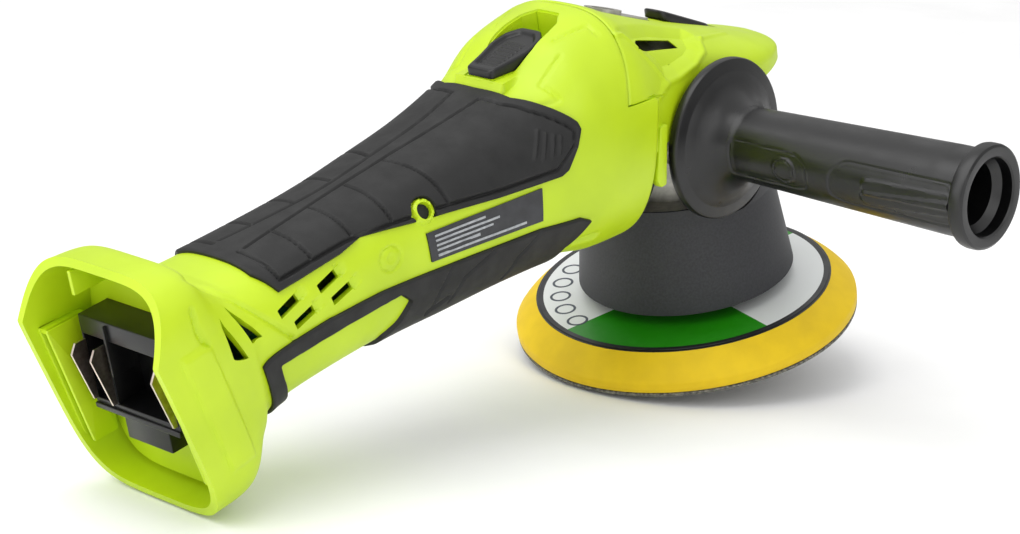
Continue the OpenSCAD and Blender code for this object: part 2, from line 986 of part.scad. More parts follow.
module spindle() {
    color("#C4C6C8") {
        translate([0, 0, weight_z1 - 8])
            cylinder(r = spindle_r + 1, h = case_floor + 2 - weight_z1 + 8);
        translate([0, 0, case_floor + 2 - eps])
            cylinder(r = spindle_r - run_fit, h = wheel_seat_z - case_floor - 2 + eps);
        translate([0, 0, wheel_seat_z])
            cylinder(r = wheel_bore_r - run_fit, h = drum_top - 2 - wheel_seat_z);
        translate([0, 0, drum_top - 2])
            cylinder(r = spindle_top_r - run_fit, h = upper_seat_top - drum_top + 1.6);
    }
}

module spindle_upper_bearing() {
    color(steel)
        translate([0, 0, upper_seat_top - upper_bearing_h])
            ball_bearing(upper_bearing_r, spindle_top_r, upper_bearing_h);
}

module spindle_lower_bearing() {
    color(steel)
        translate([0, 0, lower_bearing_z])
            ball_bearing(lower_bearing_r, spindle_r, lower_bearing_h);
}

// The eccentric carries the pad's bearing off the spindle's axis; its lobe balances the pad.
module counterweight() {
    color("#6E7074")
        difference() {
            union() {
                translate([-orbit_r, 0, weight_z0])
                    cylinder(r = pad_bearing_r + 3, h = weight_z1 - weight_z0);
                intersection() {
                    translate([0, 0, weight_z1 - 11])
                        cylinder(r = skirt_r1 - skirt_wall - 3, h = 9);
                    translate([4, -40, weight_z0])
                        cube([60, 80, 40]);
                }
            }
            translate([-orbit_r, 0, weight_z0 - 1])
                cylinder(r = pad_bearing_r, h = pad_bearing_h + 2);
            translate([-orbit_r, 0, weight_z0])
                cylinder(r = hub_r + 3, h = pad_bearing_h + 3);
            translate([0, 0, weight_z1 - 8])
                cylinder(r = spindle_r + 1, h = 20);
        }
}

module on_pad_axis(z) {
    translate([-orbit_r, 0, z])
        children();
}

module pad_bearing() {
    color(steel)
        on_pad_axis(weight_z0 + 1)
            ball_bearing(pad_bearing_r, hub_r, pad_bearing_h);
}

module pad_hub() {
    color(steel)
        difference() {
            union() {
                on_pad_axis(weight_z0 - 0.5)
                    cylinder(r = hub_r - run_fit, h = pad_bearing_h + 3.3);
                on_pad_axis(pad_h + label_t)
                    cylinder(r = hub_flange_r, h = weight_z0 - 0.5 - pad_h - label_t);
            }
            on_pad_axis(pad_h - 1)
                cylinder(r = stud_r, h = 18);
            on_pad_axis(weight_z0 + pad_bearing_h + 1.1)
                difference() {
                    cylinder(r = hub_r + 1, h = 0.9);
                    translate([0, 0, -1])
                        cylinder(r = hub_r - 0.5, h = 3);
                }
        }
}

module hub_circlip() {
    color("#55585C")
        on_pad_axis(weight_z0 + pad_bearing_h + 1.15)
            difference() {
                cylinder(r = hub_r + 1.4, h = 0.8);
                translate([0, 0, -1])
                    cylinder(r = hub_r - 0.5, h = 3);
                translate([2, -1.5, -1])
                    cube([10, 3, 4]);
            }
}

module pad_stud() {
    color(steel) {
        on_pad_axis(pad_h - plate_t)
            cylinder(r = 12, h = 2);
        on_pad_axis(pad_h - plate_t)
            cylinder(r = stud_r - run_fit, h = plate_t + 14);
    }
}

module backing_plate() {
    color("#2A2A2C")
        difference() {
            on_pad_axis(pad_h - plate_t)
                cylinder(r = pad_top_r, h = plate_t);
            on_pad_axis(pad_h - plate_t - 1)
                cylinder(r = 12, h = 3);
            on_pad_axis(pad_h - plate_t - 1)
                cylinder(r = stud_r, h = plate_t + 2);
        }
}

module foam_pad() {
    color("#F6DC00")
        on_pad_axis(0)
            rotate_extrude()
                polygon([
                    [0, hook_t], [pad_r, hook_t], [pad_r, rim_h], [pad_top_r + 0.8, pad_h],
                    [pad_top_r, pad_h], [pad_top_r, pad_h - plate_t], [0, pad_h - plate_t]
                ]);
}

module hook_face() {
    color("#4A4A48")
        on_pad_axis(0)
            cylinder(r = pad_r - 0.8, h = hook_t);
}

module pad_label() {
    color("#DDE0E0")
        on_pad_axis(pad_h)
            difference() {
                cylinder(r = pad_top_r - 0.5, h = label_t);
                translate([0, 0, -1])
                    cylinder(r = label_in_r, h = 3);
            }
}

// ---- controls -----------------------------------------------------------------------------------
slider_x0 = -87.4;
slider_x1 = -61.4;
slider_z = well_z + 0.3;
slider_rear_z = 130.8;
slider_front_z = 134.8;
rod_z = motor_z + motor_r + 0.25;
rod_t = 0.8;

module switch_slider() {
    color("#1B1B1D") {
        intersection() {
            translate([0, 0, slider_z])
                linear_extrude(20)
                    polygon([
                        [slider_x0, -5], [slider_x0 + 1.4, -6.4], [-66, -8.3], [-63.5, -7.5],
                        [slider_x1, -3.9], [slider_x1, 3.9], [-63.5, 7.5], [-66, 8.3],
                        [slider_x0 + 1.4, 6.4], [slider_x0, 5]
                    ]);
            translate([0, 20, 0])
                tilt_xz()
                    linear_extrude(40)
                        polygon([
                            [slider_x0 - 1, slider_z - 1], [slider_x0 - 1, slider_rear_z - 1],
                            [slider_x0 + 1, slider_rear_z], [slider_x1 - 4, slider_front_z],
                            [slider_x1 + 1, slider_front_z - 2], [slider_x1 + 1, slider_z - 1]
                        ]);
        }
        translate([-80, -stem_half_w, rod_z + rod_t])
            cube([8, 2 * stem_half_w, slider_z - rod_z - rod_t + eps]);
    }
}

module switch_rod() {
    color("#C4C6C8") {
        translate([-132, -3.5, rod_z])
            cube([62, 7, rod_t]);
        translate([-132, -3.5, 111.2])
            cube([9, 7, rod_z - 111.2 + eps]);
    }
}

lock_leg_x = upper_boss_r + 0.3;
lock_base_z = 103.3;
module lock_button() {
    color("#1B1B1D")
        translate([0, lock_half_w, 0])
            tilt_xz()
                linear_extrude(2 * lock_half_w)
                    polygon([
                        [lock_x0, 119.3], [lock_x0 + 1.6, 119.6], [lock_x1 - 1.2, 105.6],
                        [lock_x1, 104.6], [lock_x1, lock_base_z], [lock_leg_x, lock_base_z],
                        [lock_leg_x, 109.4],
                        [lock_x0, 112.5]
                    ]);
}

pin_z0 = motor_z + web_top + 0.6;
module lock_pin() {
    color("#C4C6C8")
        translate([lock_x, 0, pin_z0])
            cylinder(r = pin_r, h = lock_base_z - pin_z0);
}

// Compression spring between the gear case and the lock button.
module lock_spring() {
    turns = 2.5;
    sides = 6;
    steps = 40;
    z0 = drum_top + spring_wire / 2 + 0.05;
    rise = lock_base_z - drum_top - spring_wire - 0.1;
    rings = [
        for (i = [0 : steps])
            let (
                a = 360 * turns * i / steps,
                p = [lock_x + spring_r * cos(a), spring_r * sin(a), z0 + rise * i / steps]
            )
            [for (k = [0 : sides - 1])
                p + spring_wire / 2 * (
                    cos(360 * k / sides) * [cos(a), sin(a), 0] - sin(360 * k / sides) * [0, 0, 1]
                )]
    ];
    color(steel)
        polyhedron(
            [for (q = rings) each q],
            concat(
                ring_faces(sides, steps + 1),
                [[for (k = [0 : sides - 1]) k]],
                [[for (k = [sides - 1 : -1 : 0]) steps * sides + k]]
            )
        );
}

// ---- side handle ----------------------------------------------------------------------------------
ring_r = 17.4;
mouth_r = 12.8;
ring_w = 5;
guard_t = 4;

module on_handle_axis(d) {
    translate([handle_x, -handle_seat - d, handle_z])
        rotate([90, 0, 0])
            children();
}

neck_d = 13;    // where the hand guard has narrowed to the grip tube
spigot_d = 30;  // how deep the core reaches into the grip tube
nut_r = 7;
nut_h = 5;
module handle_core() {
    color("#1E1E20")
        on_handle_axis(0)
            rotate_extrude()
                polygon([
                    [thread_r, 0], [flange_r - 3, 0], [flange_r, 2.6], [flange_r, guard_t],
                    [flange_r - 1.2, guard_t], [tube_r0 + 6, 7], [tube_r0, neck_d],
                    [hollow_r - run_fit, neck_d], [hollow_r - run_fit, spigot_d],
                    [thread_r, spigot_d]
                ]);
}

module handle_sleeve() {
    color("#1E1E20")
        on_handle_axis(0)
            rotate_extrude()
                polygon([
                    [hollow_r, neck_d], [tube_r0, neck_d], [tube_r1, handle_len - 14],
                    [tube_r1, handle_len - 10], [ring_r, handle_len - ring_w],
                    [ring_r, handle_len - 1], [ring_r - 1, handle_len], [mouth_r, handle_len],
                    [mouth_r - 0.6, handle_len - 14], [hollow_r, handle_len - 16]
                ]);
}

module handle_stud() {
    color("#C4C6C8") {
        on_handle_axis(-thread_depth + 0.4)
            cylinder(r = thread_r - run_fit, h = thread_depth + spigot_d);
        on_handle_axis(spigot_d)
            cylinder(r = nut_r, h = nut_h, $fn = 6);
    }
}

housing_left();
housing_right();
grip_rubber_left();
grip_rubber_right();
band_rubber_left();
band_rubber_right();
head_cover();
gear_case();
bearing_plate();
bearing_retainer();
skirt();
thread_insert();
terminal_block();
terminal_blades();
motor_can();
motor_magnets();
motor_end_cap();
carbon_brushes();
motor_rear_bearing();
motor_front_bearing();
spindle_upper_bearing();
spindle_lower_bearing();
circuit_board();
switch_module();
battery_leads();
motor_leads();
rating_plate();
housing_screws();
case_screws();
skirt_screws();
lock_spring();
rotor_shaft();
armature_core();
armature_windings();
commutator();
cooling_fan();
drive_pinion();
spindle();
bevel_wheel();
counterweight();
pad_bearing();
pad_hub();
pad_stud();
hub_circlip();
backing_plate();
foam_pad();
hook_face();
pad_label();
switch_slider();
switch_rod();
lock_button();
lock_pin();
handle_core();
handle_sleeve();
handle_stud();
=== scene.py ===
# %% [markdown]
# # Dressing a cordless orbital sander
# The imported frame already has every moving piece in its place. This lesson gives the pieces that
# people see and touch their real surfaces: the two lime shells, the rubber grip, the gear head's
# cover, the side handle, the slide switch and the foam pad. Everything is written in millimetres
# and turned to metres once, when a mesh is made.

import json
import math

import bmesh
import bpy
import numpy as np
from mathutils import Matrix, Vector

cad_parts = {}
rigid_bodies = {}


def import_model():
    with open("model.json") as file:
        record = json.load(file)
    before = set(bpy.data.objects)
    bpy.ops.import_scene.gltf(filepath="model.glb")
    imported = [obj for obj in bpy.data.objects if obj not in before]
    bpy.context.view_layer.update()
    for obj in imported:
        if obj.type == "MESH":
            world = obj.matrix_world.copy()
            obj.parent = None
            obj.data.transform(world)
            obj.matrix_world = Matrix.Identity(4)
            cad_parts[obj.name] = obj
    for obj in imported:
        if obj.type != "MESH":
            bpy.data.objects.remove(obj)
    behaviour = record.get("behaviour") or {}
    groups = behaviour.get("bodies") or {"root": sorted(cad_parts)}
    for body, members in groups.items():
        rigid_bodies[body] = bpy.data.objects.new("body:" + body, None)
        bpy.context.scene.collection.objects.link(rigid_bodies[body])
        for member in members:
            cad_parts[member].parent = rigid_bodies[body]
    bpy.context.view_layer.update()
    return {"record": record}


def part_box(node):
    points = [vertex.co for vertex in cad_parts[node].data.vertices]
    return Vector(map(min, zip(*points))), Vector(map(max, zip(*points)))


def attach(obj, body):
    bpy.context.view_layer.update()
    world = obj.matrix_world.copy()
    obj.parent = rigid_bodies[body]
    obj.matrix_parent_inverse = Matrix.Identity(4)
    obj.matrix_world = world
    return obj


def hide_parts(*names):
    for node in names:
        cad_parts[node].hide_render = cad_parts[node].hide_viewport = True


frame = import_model()

# %% [markdown]
# ## From grids of points to meshes
# Each new piece is a surface that two parameters run over, so its points form a grid. A moulded
# part is hollow, and one way to make it is a Solidify modifier. Here the inner wall is worked out
# as its own grid, because then openings can be left out of both walls and closed with a rim.

# %% Mesh helpers
SHARP_ANGLE = math.radians(32)
WELD = 4e-6


def cells(rows, cols):
    """Corner numbers of every cell of a grid, going round the cell from its first corner."""
    n = np.arange(rows * cols).reshape(rows, cols)
    return np.stack([n[:-1, :-1], n[:-1, 1:], n[1:, 1:], n[1:, :-1]], -1)


def make_piece(name, points, quads, body, slot, material, replaces=(), sharp=SHARP_ANGLE):
    """A mesh object from points in mm and quads: doubles merged, normals turned outwards."""
    mesh = bpy.data.meshes.new(name)
    mesh.vertices.add(len(points))
    mesh.vertices.foreach_set("co", (np.asarray(points, float) / 1000).ravel())
    mesh.loops.add(quads.size)
    mesh.loops.foreach_set("vertex_index", quads.ravel().astype(np.int32))
    mesh.polygons.add(len(quads))
    mesh.polygons.foreach_set("loop_start", np.arange(0, quads.size, 4, dtype=np.int32))
    mesh.update(calc_edges=True)
    work = bmesh.new()
    work.from_mesh(mesh)
    bmesh.ops.remove_doubles(work, verts=work.verts, dist=WELD)
    loose = [v for v in work.verts if not v.link_faces]
    bmesh.ops.delete(work, geom=loose, context="VERTS")
    bmesh.ops.recalc_face_normals(work, faces=work.faces)
    work.to_mesh(mesh)
    work.free()
    mesh.shade_smooth()
    mesh.set_sharp_from_angle(angle=sharp)
    obj = bpy.data.objects.new(name, mesh)
    bpy.context.scene.collection.objects.link(obj)
    mesh.materials.append(material)
    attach(obj, body)
    if replaces:
        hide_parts(*replaces)
    print(name, len(mesh.polygons), "faces")
    return obj


def walled(outer, inner, keep=None):
    """Points and quads of a closed wall between two grids.

    Every kept cell gives an outer and an inner face. Wherever a kept cell borders on a cell that is
    left out, or on the grid's edge, a face joins the two grids, so that openings get a rim.
    """
    rows, cols = outer.shape[:2]
    if keep is None:
        keep = np.ones((rows - 1, cols - 1), bool)
    n = np.arange(rows * cols).reshape(rows, cols)
    back = rows * cols
    quads = cells(rows, cols)[keep]
    framed = np.pad(keep, 1)
    across = framed[:-1, 1:-1] != framed[1:, 1:-1]
    along = framed[1:-1, :-1] != framed[1:-1, 1:]
    a, b = n[:, :-1][across], n[:, 1:][across]
    c, d = n[:-1, :][along], n[1:, :][along]
    rim = np.concatenate([np.stack([a, b, b + back, a + back], -1),
                          np.stack([c, d, d + back, c + back], -1)])
    points = np.concatenate([outer.reshape(-1, 3), inner.reshape(-1, 3)])
    return points, np.concatenate([quads, quads[:, ::-1] + back, rim])


def smooth(t):
    """0 below 0, 1 above 1, and 3t^2 - 2t^3 between."""
    t = np.clip(t, 0, 1)
    return t * t * (3 - 2 * t)


def bump(distance, half_width):
    """A rounded ridge profile: 1 on the line and 0 from half_width away."""
    return smooth(1 - np.abs(distance) / half_width)


def to_line(points, line):
    """Distance from 2-D points to a broken line, and the nearest point on it."""
    start, end = line[:-1], line[1:]
    run = end - start
    rel = points[..., None, :] - start
    t = np.clip((rel * run).sum(-1) / np.maximum((run * run).sum(-1), 1e-9), 0, 1)
    near = start + t[..., None] * run
    gap = np.linalg.norm(points[..., None, :] - near, axis=-1)
    best = gap.argmin(-1)[..., None]
    return (np.take_along_axis(gap, best, -1)[..., 0],
            np.take_along_axis(near, best[..., None], -2)[..., 0, :])


def inside(points, outline):
    """True where a 2-D point lies in a closed outline, by counting the edges to its right."""
    a, b = outline, np.roll(outline, -1, 0)
    x, y = points[..., 0, None], points[..., 1, None]
    crosses = (a[:, 1] > y) != (b[:, 1] > y)
    at = a[:, 0] + (y - a[:, 1]) / np.where(a[:, 1] == b[:, 1], 1e-9, b[:, 1] - a[:, 1]) \
        * (b[:, 0] - a[:, 0])
    return (crosses & (x < at)).sum(-1) % 2 == 1


def ring(outline):
    """The outline with its first point again at the end."""
    return np.concatenate([outline, outline[:1]])


def rounded(outline, radius, steps=5):
    """A polygon with each corner replaced by a short curve through points near it."""
    prev, nxt = np.roll(outline, 1, 0), np.roll(outline, -1, 0)
    out = []
    for k, p in enumerate(outline):
        a, b = prev[k] - p, nxt[k] - p
        la, lb = np.linalg.norm(a), np.linalg.norm(b)
        r = min(radius, 0.45 * la, 0.45 * lb)
        t = np.linspace(0, 1, steps)[:, None]
        start, end = p + a / la * r, p + b / lb * r
        out.append((1 - t) ** 2 * start + 2 * t * (1 - t) * p + t ** 2 * end)
    return np.concatenate(out)


def circle(x, y, rx, ry=None, count=28):
    """Points round an ellipse."""
    t = np.linspace(0, 2 * np.pi, count, endpoint=False)
    return np.stack([x + rx * np.cos(t), y + (ry or rx) * np.sin(t)], -1)


# %% [markdown]
# ## Materials
# Each finish is named for what the real surface is and how it was made. Colours are written as the
# sRGB hex values a designer would pick, and one function turns them to linear light. Patterns read
# Object coordinates, which are the row frame in metres, so a scale is 1000 divided by millimetres.

# %% Material helpers
def linear(hex_colour):
    """sRGB hex to linear RGBA: c/12.92 below 0.04045, else ((c+0.055)/1.055)^2.4."""
    c = np.array([int(hex_colour[i:i + 2], 16) / 255 for i in (1, 3, 5)])
    c = np.where(c <= 0.04045, c / 12.92, ((c + 0.055) / 1.055) ** 2.4)
    return (*c, 1.0)


def per_mm(size):
    """Texture scale that gives a pattern of this size in millimetres."""
    return 1000.0 / size


def node(tree, kind, settings=(), inputs=(), links=()):
    """Adds a node: settings are its properties, inputs its socket values, links its fed sockets."""
    made = tree.nodes.new(kind)
    for key, value in dict(settings).items():
        setattr(made, key, value)
    for key, value in dict(inputs).items():
        made.inputs[key].default_value = value
    for key, source in dict(links).items():
        tree.links.new(source, made.inputs[key])
    return made


def new_material(name, roughness, metallic=0.0, **sockets):
    """A material with one Principled shader; returns it, its tree, the shader and coordinates."""
    material = bpy.data.materials.new(name)
    material.use_nodes = True
    tree = material.node_tree
    shader = tree.nodes["Principled BSDF"]
    shader.inputs["Roughness"].default_value = roughness
    shader.inputs["Metallic"].default_value = metallic
    for key, value in sockets.items():
        shader.inputs[key.replace("_", " ")].default_value = value
    place = node(tree, "ShaderNodeTexCoord").outputs["Object"]
    return material, tree, shader, place


def mottled(tree, shader, place, dark, light, size, detail=3.0, low=0.35, high=0.65):
    """Base colour that wanders between two shades over patches of the given size in mm."""
    noise = node(tree, "ShaderNodeTexNoise", {}, {"Scale": per_mm(size), "Detail": detail},
                 {"Vector": place})
    ramp = node(tree, "ShaderNodeValToRGB", {}, {}, {"Fac": noise.outputs["Fac"]})
    ramp.color_ramp.elements[0].position = low
    ramp.color_ramp.elements[0].color = linear(dark)
    ramp.color_ramp.elements[1].position = high
    ramp.color_ramp.elements[1].color = linear(light)
    tree.links.new(ramp.outputs["Color"], shader.inputs["Base Color"])


def grained(tree, shader, place, size, height, detail=2.0, kind="ShaderNodeTexNoise"):
    """Surface bump with grains of a size and a height in mm."""
    scale = {"Scale": per_mm(size)}
    if kind == "ShaderNodeTexNoise":
        scale["Detail"] = detail
    grain = node(tree, kind, {}, scale, {"Vector": place})
    out = grain.outputs["Distance" if kind == "ShaderNodeTexVoronoi" else "Fac"]
    lift = node(tree, "ShaderNodeBump", {}, {"Strength": 0.6, "Distance": height / 1000},
                {"Height": out})
    tree.links.new(lift.outputs["Normal"], shader.inputs["Normal"])


def varied_roughness(tree, shader, place, low, high, size):
    """Roughness that wanders between two values over patches of a size in mm, as handling gives."""
    noise = node(tree, "ShaderNodeTexNoise", {}, {"Scale": per_mm(size), "Detail": 4.0},
                 {"Vector": place})
    span = node(tree, "ShaderNodeMapRange", {},
                {"From Min": 0.3, "From Max": 0.7, "To Min": low, "To Max": high},
                {"Value": noise.outputs["Fac"]})
    tree.links.new(span.outputs["Result"], shader.inputs["Roughness"])


def finish(name, roughness, dark, light, patch, metallic=0.0, ior=None, spread=(0.35, 0.65),
           grain=None, wander=None):
    """A whole finish: shades over patches in mm, grain (size, height, detail, kind) in mm, and
    roughness that wanders (low, high, size)."""
    sockets = {} if ior is None else {"IOR": ior}
    material, tree, shader, place = new_material(name, roughness, metallic, **sockets)
    mottled(tree, shader, place, dark, light, patch, low=spread[0], high=spread[1])
    if grain:
        grained(tree, shader, place, *grain)
    if wander:
        varied_roughness(tree, shader, place, *wander)
    return material


# %% [markdown]
# ### Plastics and rubbers
# Most of the tool is injection moulded, and the mould's surface decides the look: a fine
# spark-eroded grain makes satin, a coarse one makes the skirt's sandy matt.

# %% Plastics and rubbers
# Injection moulded ABS in lime: satin from a fine spark-eroded mould, with a soft broad highlight.
lime_abs = finish("moulded_lime_abs", 0.42, "#B2CE08", "#BCD80D", 30, ior=1.54, grain=(0.35, 0.012),
                  wander=(0.38, 0.48, 12))

# Overmoulded thermoplastic rubber: almost black, matt, with a leather-like mould grain.
grip_rubber = finish("overmoulded_black_rubber", 0.6, "#0B0B0B", "#111111", 9, ior=1.5,
                     grain=(0.55, 0.05, 4.0), wander=(0.52, 0.68, 7))

# Glass-filled nylon for the handle: black with a low sheen and faint flow lines.
handle_nylon = finish("moulded_black_nylon", 0.34, "#060607", "#0A0A0B", 14, ior=1.53,
                      grain=(0.5, 0.02), wander=(0.27, 0.42, 9))

# Acetal switch parts: a little glossier than the handle.
switch_acetal = finish("moulded_black_acetal", 0.34, "#070708", "#0C0C0D", 4, ior=1.48,
                       grain=(0.3, 0.01))

# Spark-eroded dark grey nylon for the skirt: a fine sandy texture that kills the gloss.
skirt_nylon = finish("sandy_grey_nylon", 0.55, "#1B1C20", "#26272B", 0.8, ior=1.53,
                     grain=(0.45, 0.04, 6.0))

# Moulded polyurethane foam: yellow self-skinning foam with open pinholes too fine to see singly.
foam_yellow = finish("self_skinned_yellow_foam", 0.62, "#DDB900", "#E6C200", 10, ior=1.45,
                     grain=(0.7, 0.05, 5.0))

# Woven hook tape: dark grey nylon hooks on a woven back; the rows are drawn 1.6 mm apart.
hook_tape = finish("woven_hook_tape", 0.85, "#4A4A46", "#8C8A80", 1.2, ior=1.5, spread=(0.4, 0.7),
                   grain=(1.6, 0.5, 2.0, "ShaderNodeTexVoronoi"))

# %% [markdown]
# ### Metals
# Bare metals keep full metallic reflection, and what tells them apart is their tint and how evenly
# they were ground, blasted or plated.

# %% Metals
# Die-cast and bead-blasted aluminium: light grey, rough, with a sparkle of blast marks.
cast_aluminium = finish("bead_blasted_aluminium", 0.45, "#A3A19B", "#B7B5AE", 2.5, metallic=1.0,
                        grain=(0.5, 0.03, 3.0))

# Ground bearing steel: bright, with fine rings of the grinding wheel across its axis.
ground_steel = finish("ground_bearing_steel", 0.24, "#B9BBBD", "#C9CBCC", 1.5, metallic=1.0,
                      wander=(0.18, 0.32, 1.0))

# Hardened gear steel: dark from heat treatment and wet with a film of grease.
gear_steel = finish("hardened_gear_steel", 0.36, "#6F7276", "#8A8C90", 3, metallic=1.0,
                    wander=(0.28, 0.44, 3))

# Zinc plate over pressed steel: pale, slightly blue, with soft spangle.
zinc_steel = finish("zinc_plated_steel", 0.3, "#B5B9BD", "#CDD0D2", 2, metallic=1.0,
                    wander=(0.22, 0.38, 2))

# Nickel on copper alloy for the contact blades: warm silver from the stamping.
contact_nickel = finish("stamped_nickel_contact", 0.28, "#C9B9AE", "#DDD0C6", 1.5, metallic=1.0)

# Enamelled copper wire and the commutator's bars.
winding_copper = finish("enamelled_copper_wire", 0.32, "#A2542A", "#C4733F", 0.9, metallic=1.0,
                        grain=(0.7, 0.15))

# %% [markdown]
# ### Small finishes
# Carbon, solder mask and lead insulation only show through the vents, so a plain shade is enough.

# %% Small finishes
# Pressed carbon of the brushes: dull dark grey with a fine grain.
pressed_carbon = finish("pressed_carbon", 0.7, "#161616", "#242424", 0.5)

# Solder mask over copper on the circuit board: green and glossy.
solder_mask = finish("green_solder_mask", 0.3, "#15603A", "#1F7A48", 1.6, ior=1.5)

# Extruded PVC insulation of the leads.
red_pvc = finish("extruded_red_pvc", 0.4, "#A81818", "#BE2222", 3, ior=1.53)
black_pvc = finish("extruded_black_pvc", 0.4, "#161616", "#222222", 3, ior=1.53)

# %% [markdown]
# ## The tool's skin
# The housing is two moulded shells that meet on the middle plane. Sections are measured every few
# centimetres along the tool: half width, lowest and highest point, and how square the section is.
# Catmull-Rom curves run through them, and each section is a superellipse. It could be sculpted, but
# a formula lets the shells, the rubber and the openings all be cut from the same skin.

# %% Skin of the housing
# x, half width, low z, high z, squareness
STATIONS = np.array([
    [-260, 33, 50, 131, 4.5], [-243, 32, 50.5, 129, 4.5], [-232, 30.5, 53, 121, 4],
    [-223, 28.5, 62, 116, 3.5], [-212, 26.5, 68.5, 115.5, 3], [-168, 25, 68.5, 116.3, 2.8],
    [-137, 26, 66.5, 118.5, 2.8], [-109, 28.5, 65, 121, 2.8], [-84, 32, 62.5, 126, 2.8],
    [-68, 34, 58, 135, 2.8], [-46, 34.5, 55.5, 138.5, 2.8], [-36, 34.5, 55.5, 139, 2.8]])
SHELL_WALL = 2.4
SEAM = np.array([[-42.6, 150], [-55, 110], [-40, 108], [-53, 53], [-53.7, 50]])


def along(table, s):
    """Catmull-Rom curve through the rows of a table, at row number s."""
    k = np.clip(np.floor(s).astype(int), 0, len(table) - 2)
    t = (s - k)[..., None]
    a, b, c, d = (table[np.clip(k + j, 0, len(table) - 1)] for j in (-1, 0, 1, 2))
    return 0.5 * (2 * b + (c - a) * t + (2 * a - 5 * b + 4 * c - d) * t ** 2
                  + (3 * b - a - 3 * c + d) * t ** 3)


def signed_power(v, e):
    """|v|^e with v's sign, which turns a circle into a superellipse."""
    return np.sign(v) * np.abs(v) ** e


def skin(s, angle, out=0.0, side=1):
    """Skin point at station s and an angle in degrees from the side (90 is the top).

    y = side * (half width + out) * cos(angle)^(2/n), z = middle + (half height + out) *
    sin(angle)^(2/n), and x leans back with height near the foot.
    """
    s, angle, out = np.broadcast_arrays(np.asarray(s, float), np.asarray(angle, float), out)
    v = along(STATIONS, s)
    e = 2 / v[..., 4]
    a = np.radians(angle)
    half = (v[..., 3] - v[..., 2]) / 2 + out
    z = (v[..., 3] + v[..., 2]) / 2 + half * signed_power(np.sin(a), e)
    y = side * (v[..., 1] + out) * signed_power(np.cos(a), e)
    lean = np.where(z > 110, 0.5 * (z - 110), 0.24 * (110 - z)) * np.clip(1 - s / 4, 0, 1) ** 1.5
    return np.stack([v[..., 0] + lean, y, z], -1)


# The skin unrolled: length along the tool and girth up from the side, in mm, on a fine table.
LAST_STATION = len(STATIONS) - 1
S_STEPS, A_STEPS = 220, 360
S_FINE = np.linspace(0, LAST_STATION, S_STEPS + 1)
A_FINE = np.linspace(-90, 90, A_STEPS + 1)
fine = skin(S_FINE[:, None], A_FINE[None, :])
step = np.linalg.norm(np.diff(fine[..., 1:], axis=1), axis=-1)
GIRTH = np.concatenate([np.zeros((len(S_FINE), 1)), np.cumsum(step, 1)], 1)
GIRTH -= GIRTH[:, A_STEPS // 2:A_STEPS // 2 + 1]
LENGTH = along(STATIONS, S_FINE)[:, 0]


def unroll(s, angle):
    """(length, girth) in mm of skin points, read between the table's nearest four entries."""
    s, angle = np.broadcast_arrays(np.asarray(s, float), np.asarray(angle, float))
    i = np.clip(s / LAST_STATION * S_STEPS, 0, S_STEPS - 0.001)
    j = np.clip((angle + 90) / 180 * A_STEPS, 0, A_STEPS - 0.001)
    i0, j0 = i.astype(int), j.astype(int)
    fi, fj = i - i0, j - j0
    g = ((1 - fi) * (1 - fj) * GIRTH[i0, j0] + (1 - fi) * fj * GIRTH[i0, j0 + 1]
         + fi * (1 - fj) * GIRTH[i0 + 1, j0] + fi * fj * GIRTH[i0 + 1, j0 + 1])
    return np.stack([np.interp(s, S_FINE, LENGTH), g], -1)


def roll_up(flat):
    """Station and angle of an unrolled point, by halving the interval of angles 22 times."""
    s = np.interp(flat[..., 0], LENGTH, S_FINE)
    low, high = np.full(s.shape, -90.0), np.full(s.shape, 90.0)
    for _ in range(22):
        middle = (low + high) / 2
        below = unroll(s, middle)[..., 1] < flat[..., 1]
        low, high = np.where(below, middle, low), np.where(below, high, middle)
    return s, (low + high) / 2


def flat_path(path):
    """A path of (station, angle) pairs, unrolled."""
    path = np.asarray(path, float)
    return unroll(path[:, 0], path[:, 1])


def drill(s, angle, outlines, reach=0.6):
    """Moves grid points near an outline onto it, and finds the cells that lie inside.

    The grid's own edges stay, and everything is measured on the unrolled skin.
    """
    open_cells = np.zeros((s.shape[0] - 1, s.shape[1] - 1), bool)
    for outline in outlines:
        flat = unroll(s, angle)
        near = (np.abs(flat - outline.mean(0)) < np.ptp(outline, 0) / 2 + 4).all(-1)
        gap, spot = to_line(flat[near], ring(outline))
        move = gap < reach
        s_new, a_new = roll_up(spot[move])
        rows, cols = np.nonzero(near)
        s[rows[move], cols[move]] = s_new
        angle[rows[move], cols[move]] = a_new
        flat = unroll(s, angle)
        middle = (flat[:-1, :-1] + flat[1:, :-1] + flat[:-1, 1:] + flat[1:, 1:]) / 4
        block = np.zeros(open_cells.shape, bool)
        block[rows.min():rows.max(), cols.min():cols.max()] = True
        open_cells[block] |= inside(middle[block], outline)
    return s, angle, open_cells


print("skin girth at the grip, mm:", round(float(np.ptp(GIRTH[100])), 1))

# %% [markdown]
# ## The two lime shells
# Each shell runs from the battery foot to the seam behind the gear head. Its outer wall carries the
# raised panel and creases of the foot and the platform behind the switch, and the vents, the
# triangular windows and the screw wells are real openings. Booleans could cut them; here the grid's
# points are pulled onto each outline first, which keeps the edges crisp and the mesh closed.

# %% Openings and creases of the shells
VENT_LENGTH, VENT_WIDTH, VENT_TURN = 9.4, 3.1, 12
VENTS = [flat_path([c])[0] for c in ((4.60, 20), (4.68, 7), (4.24, 19), (4.35, 6))]
FOOT_WINDOWS = [
    [(2.56, 48), (3.78, 10), (3.12, 11)],
    [(1.98, 35), (2.74, 6), (1.96, 7.5)]]
CRESCENT = [(0.83, 33), (0.93, 20), (1.20, 13)]
SCREW_HOLE = unroll(5.78, 29)
SCREW_HOLE_R = 2.7


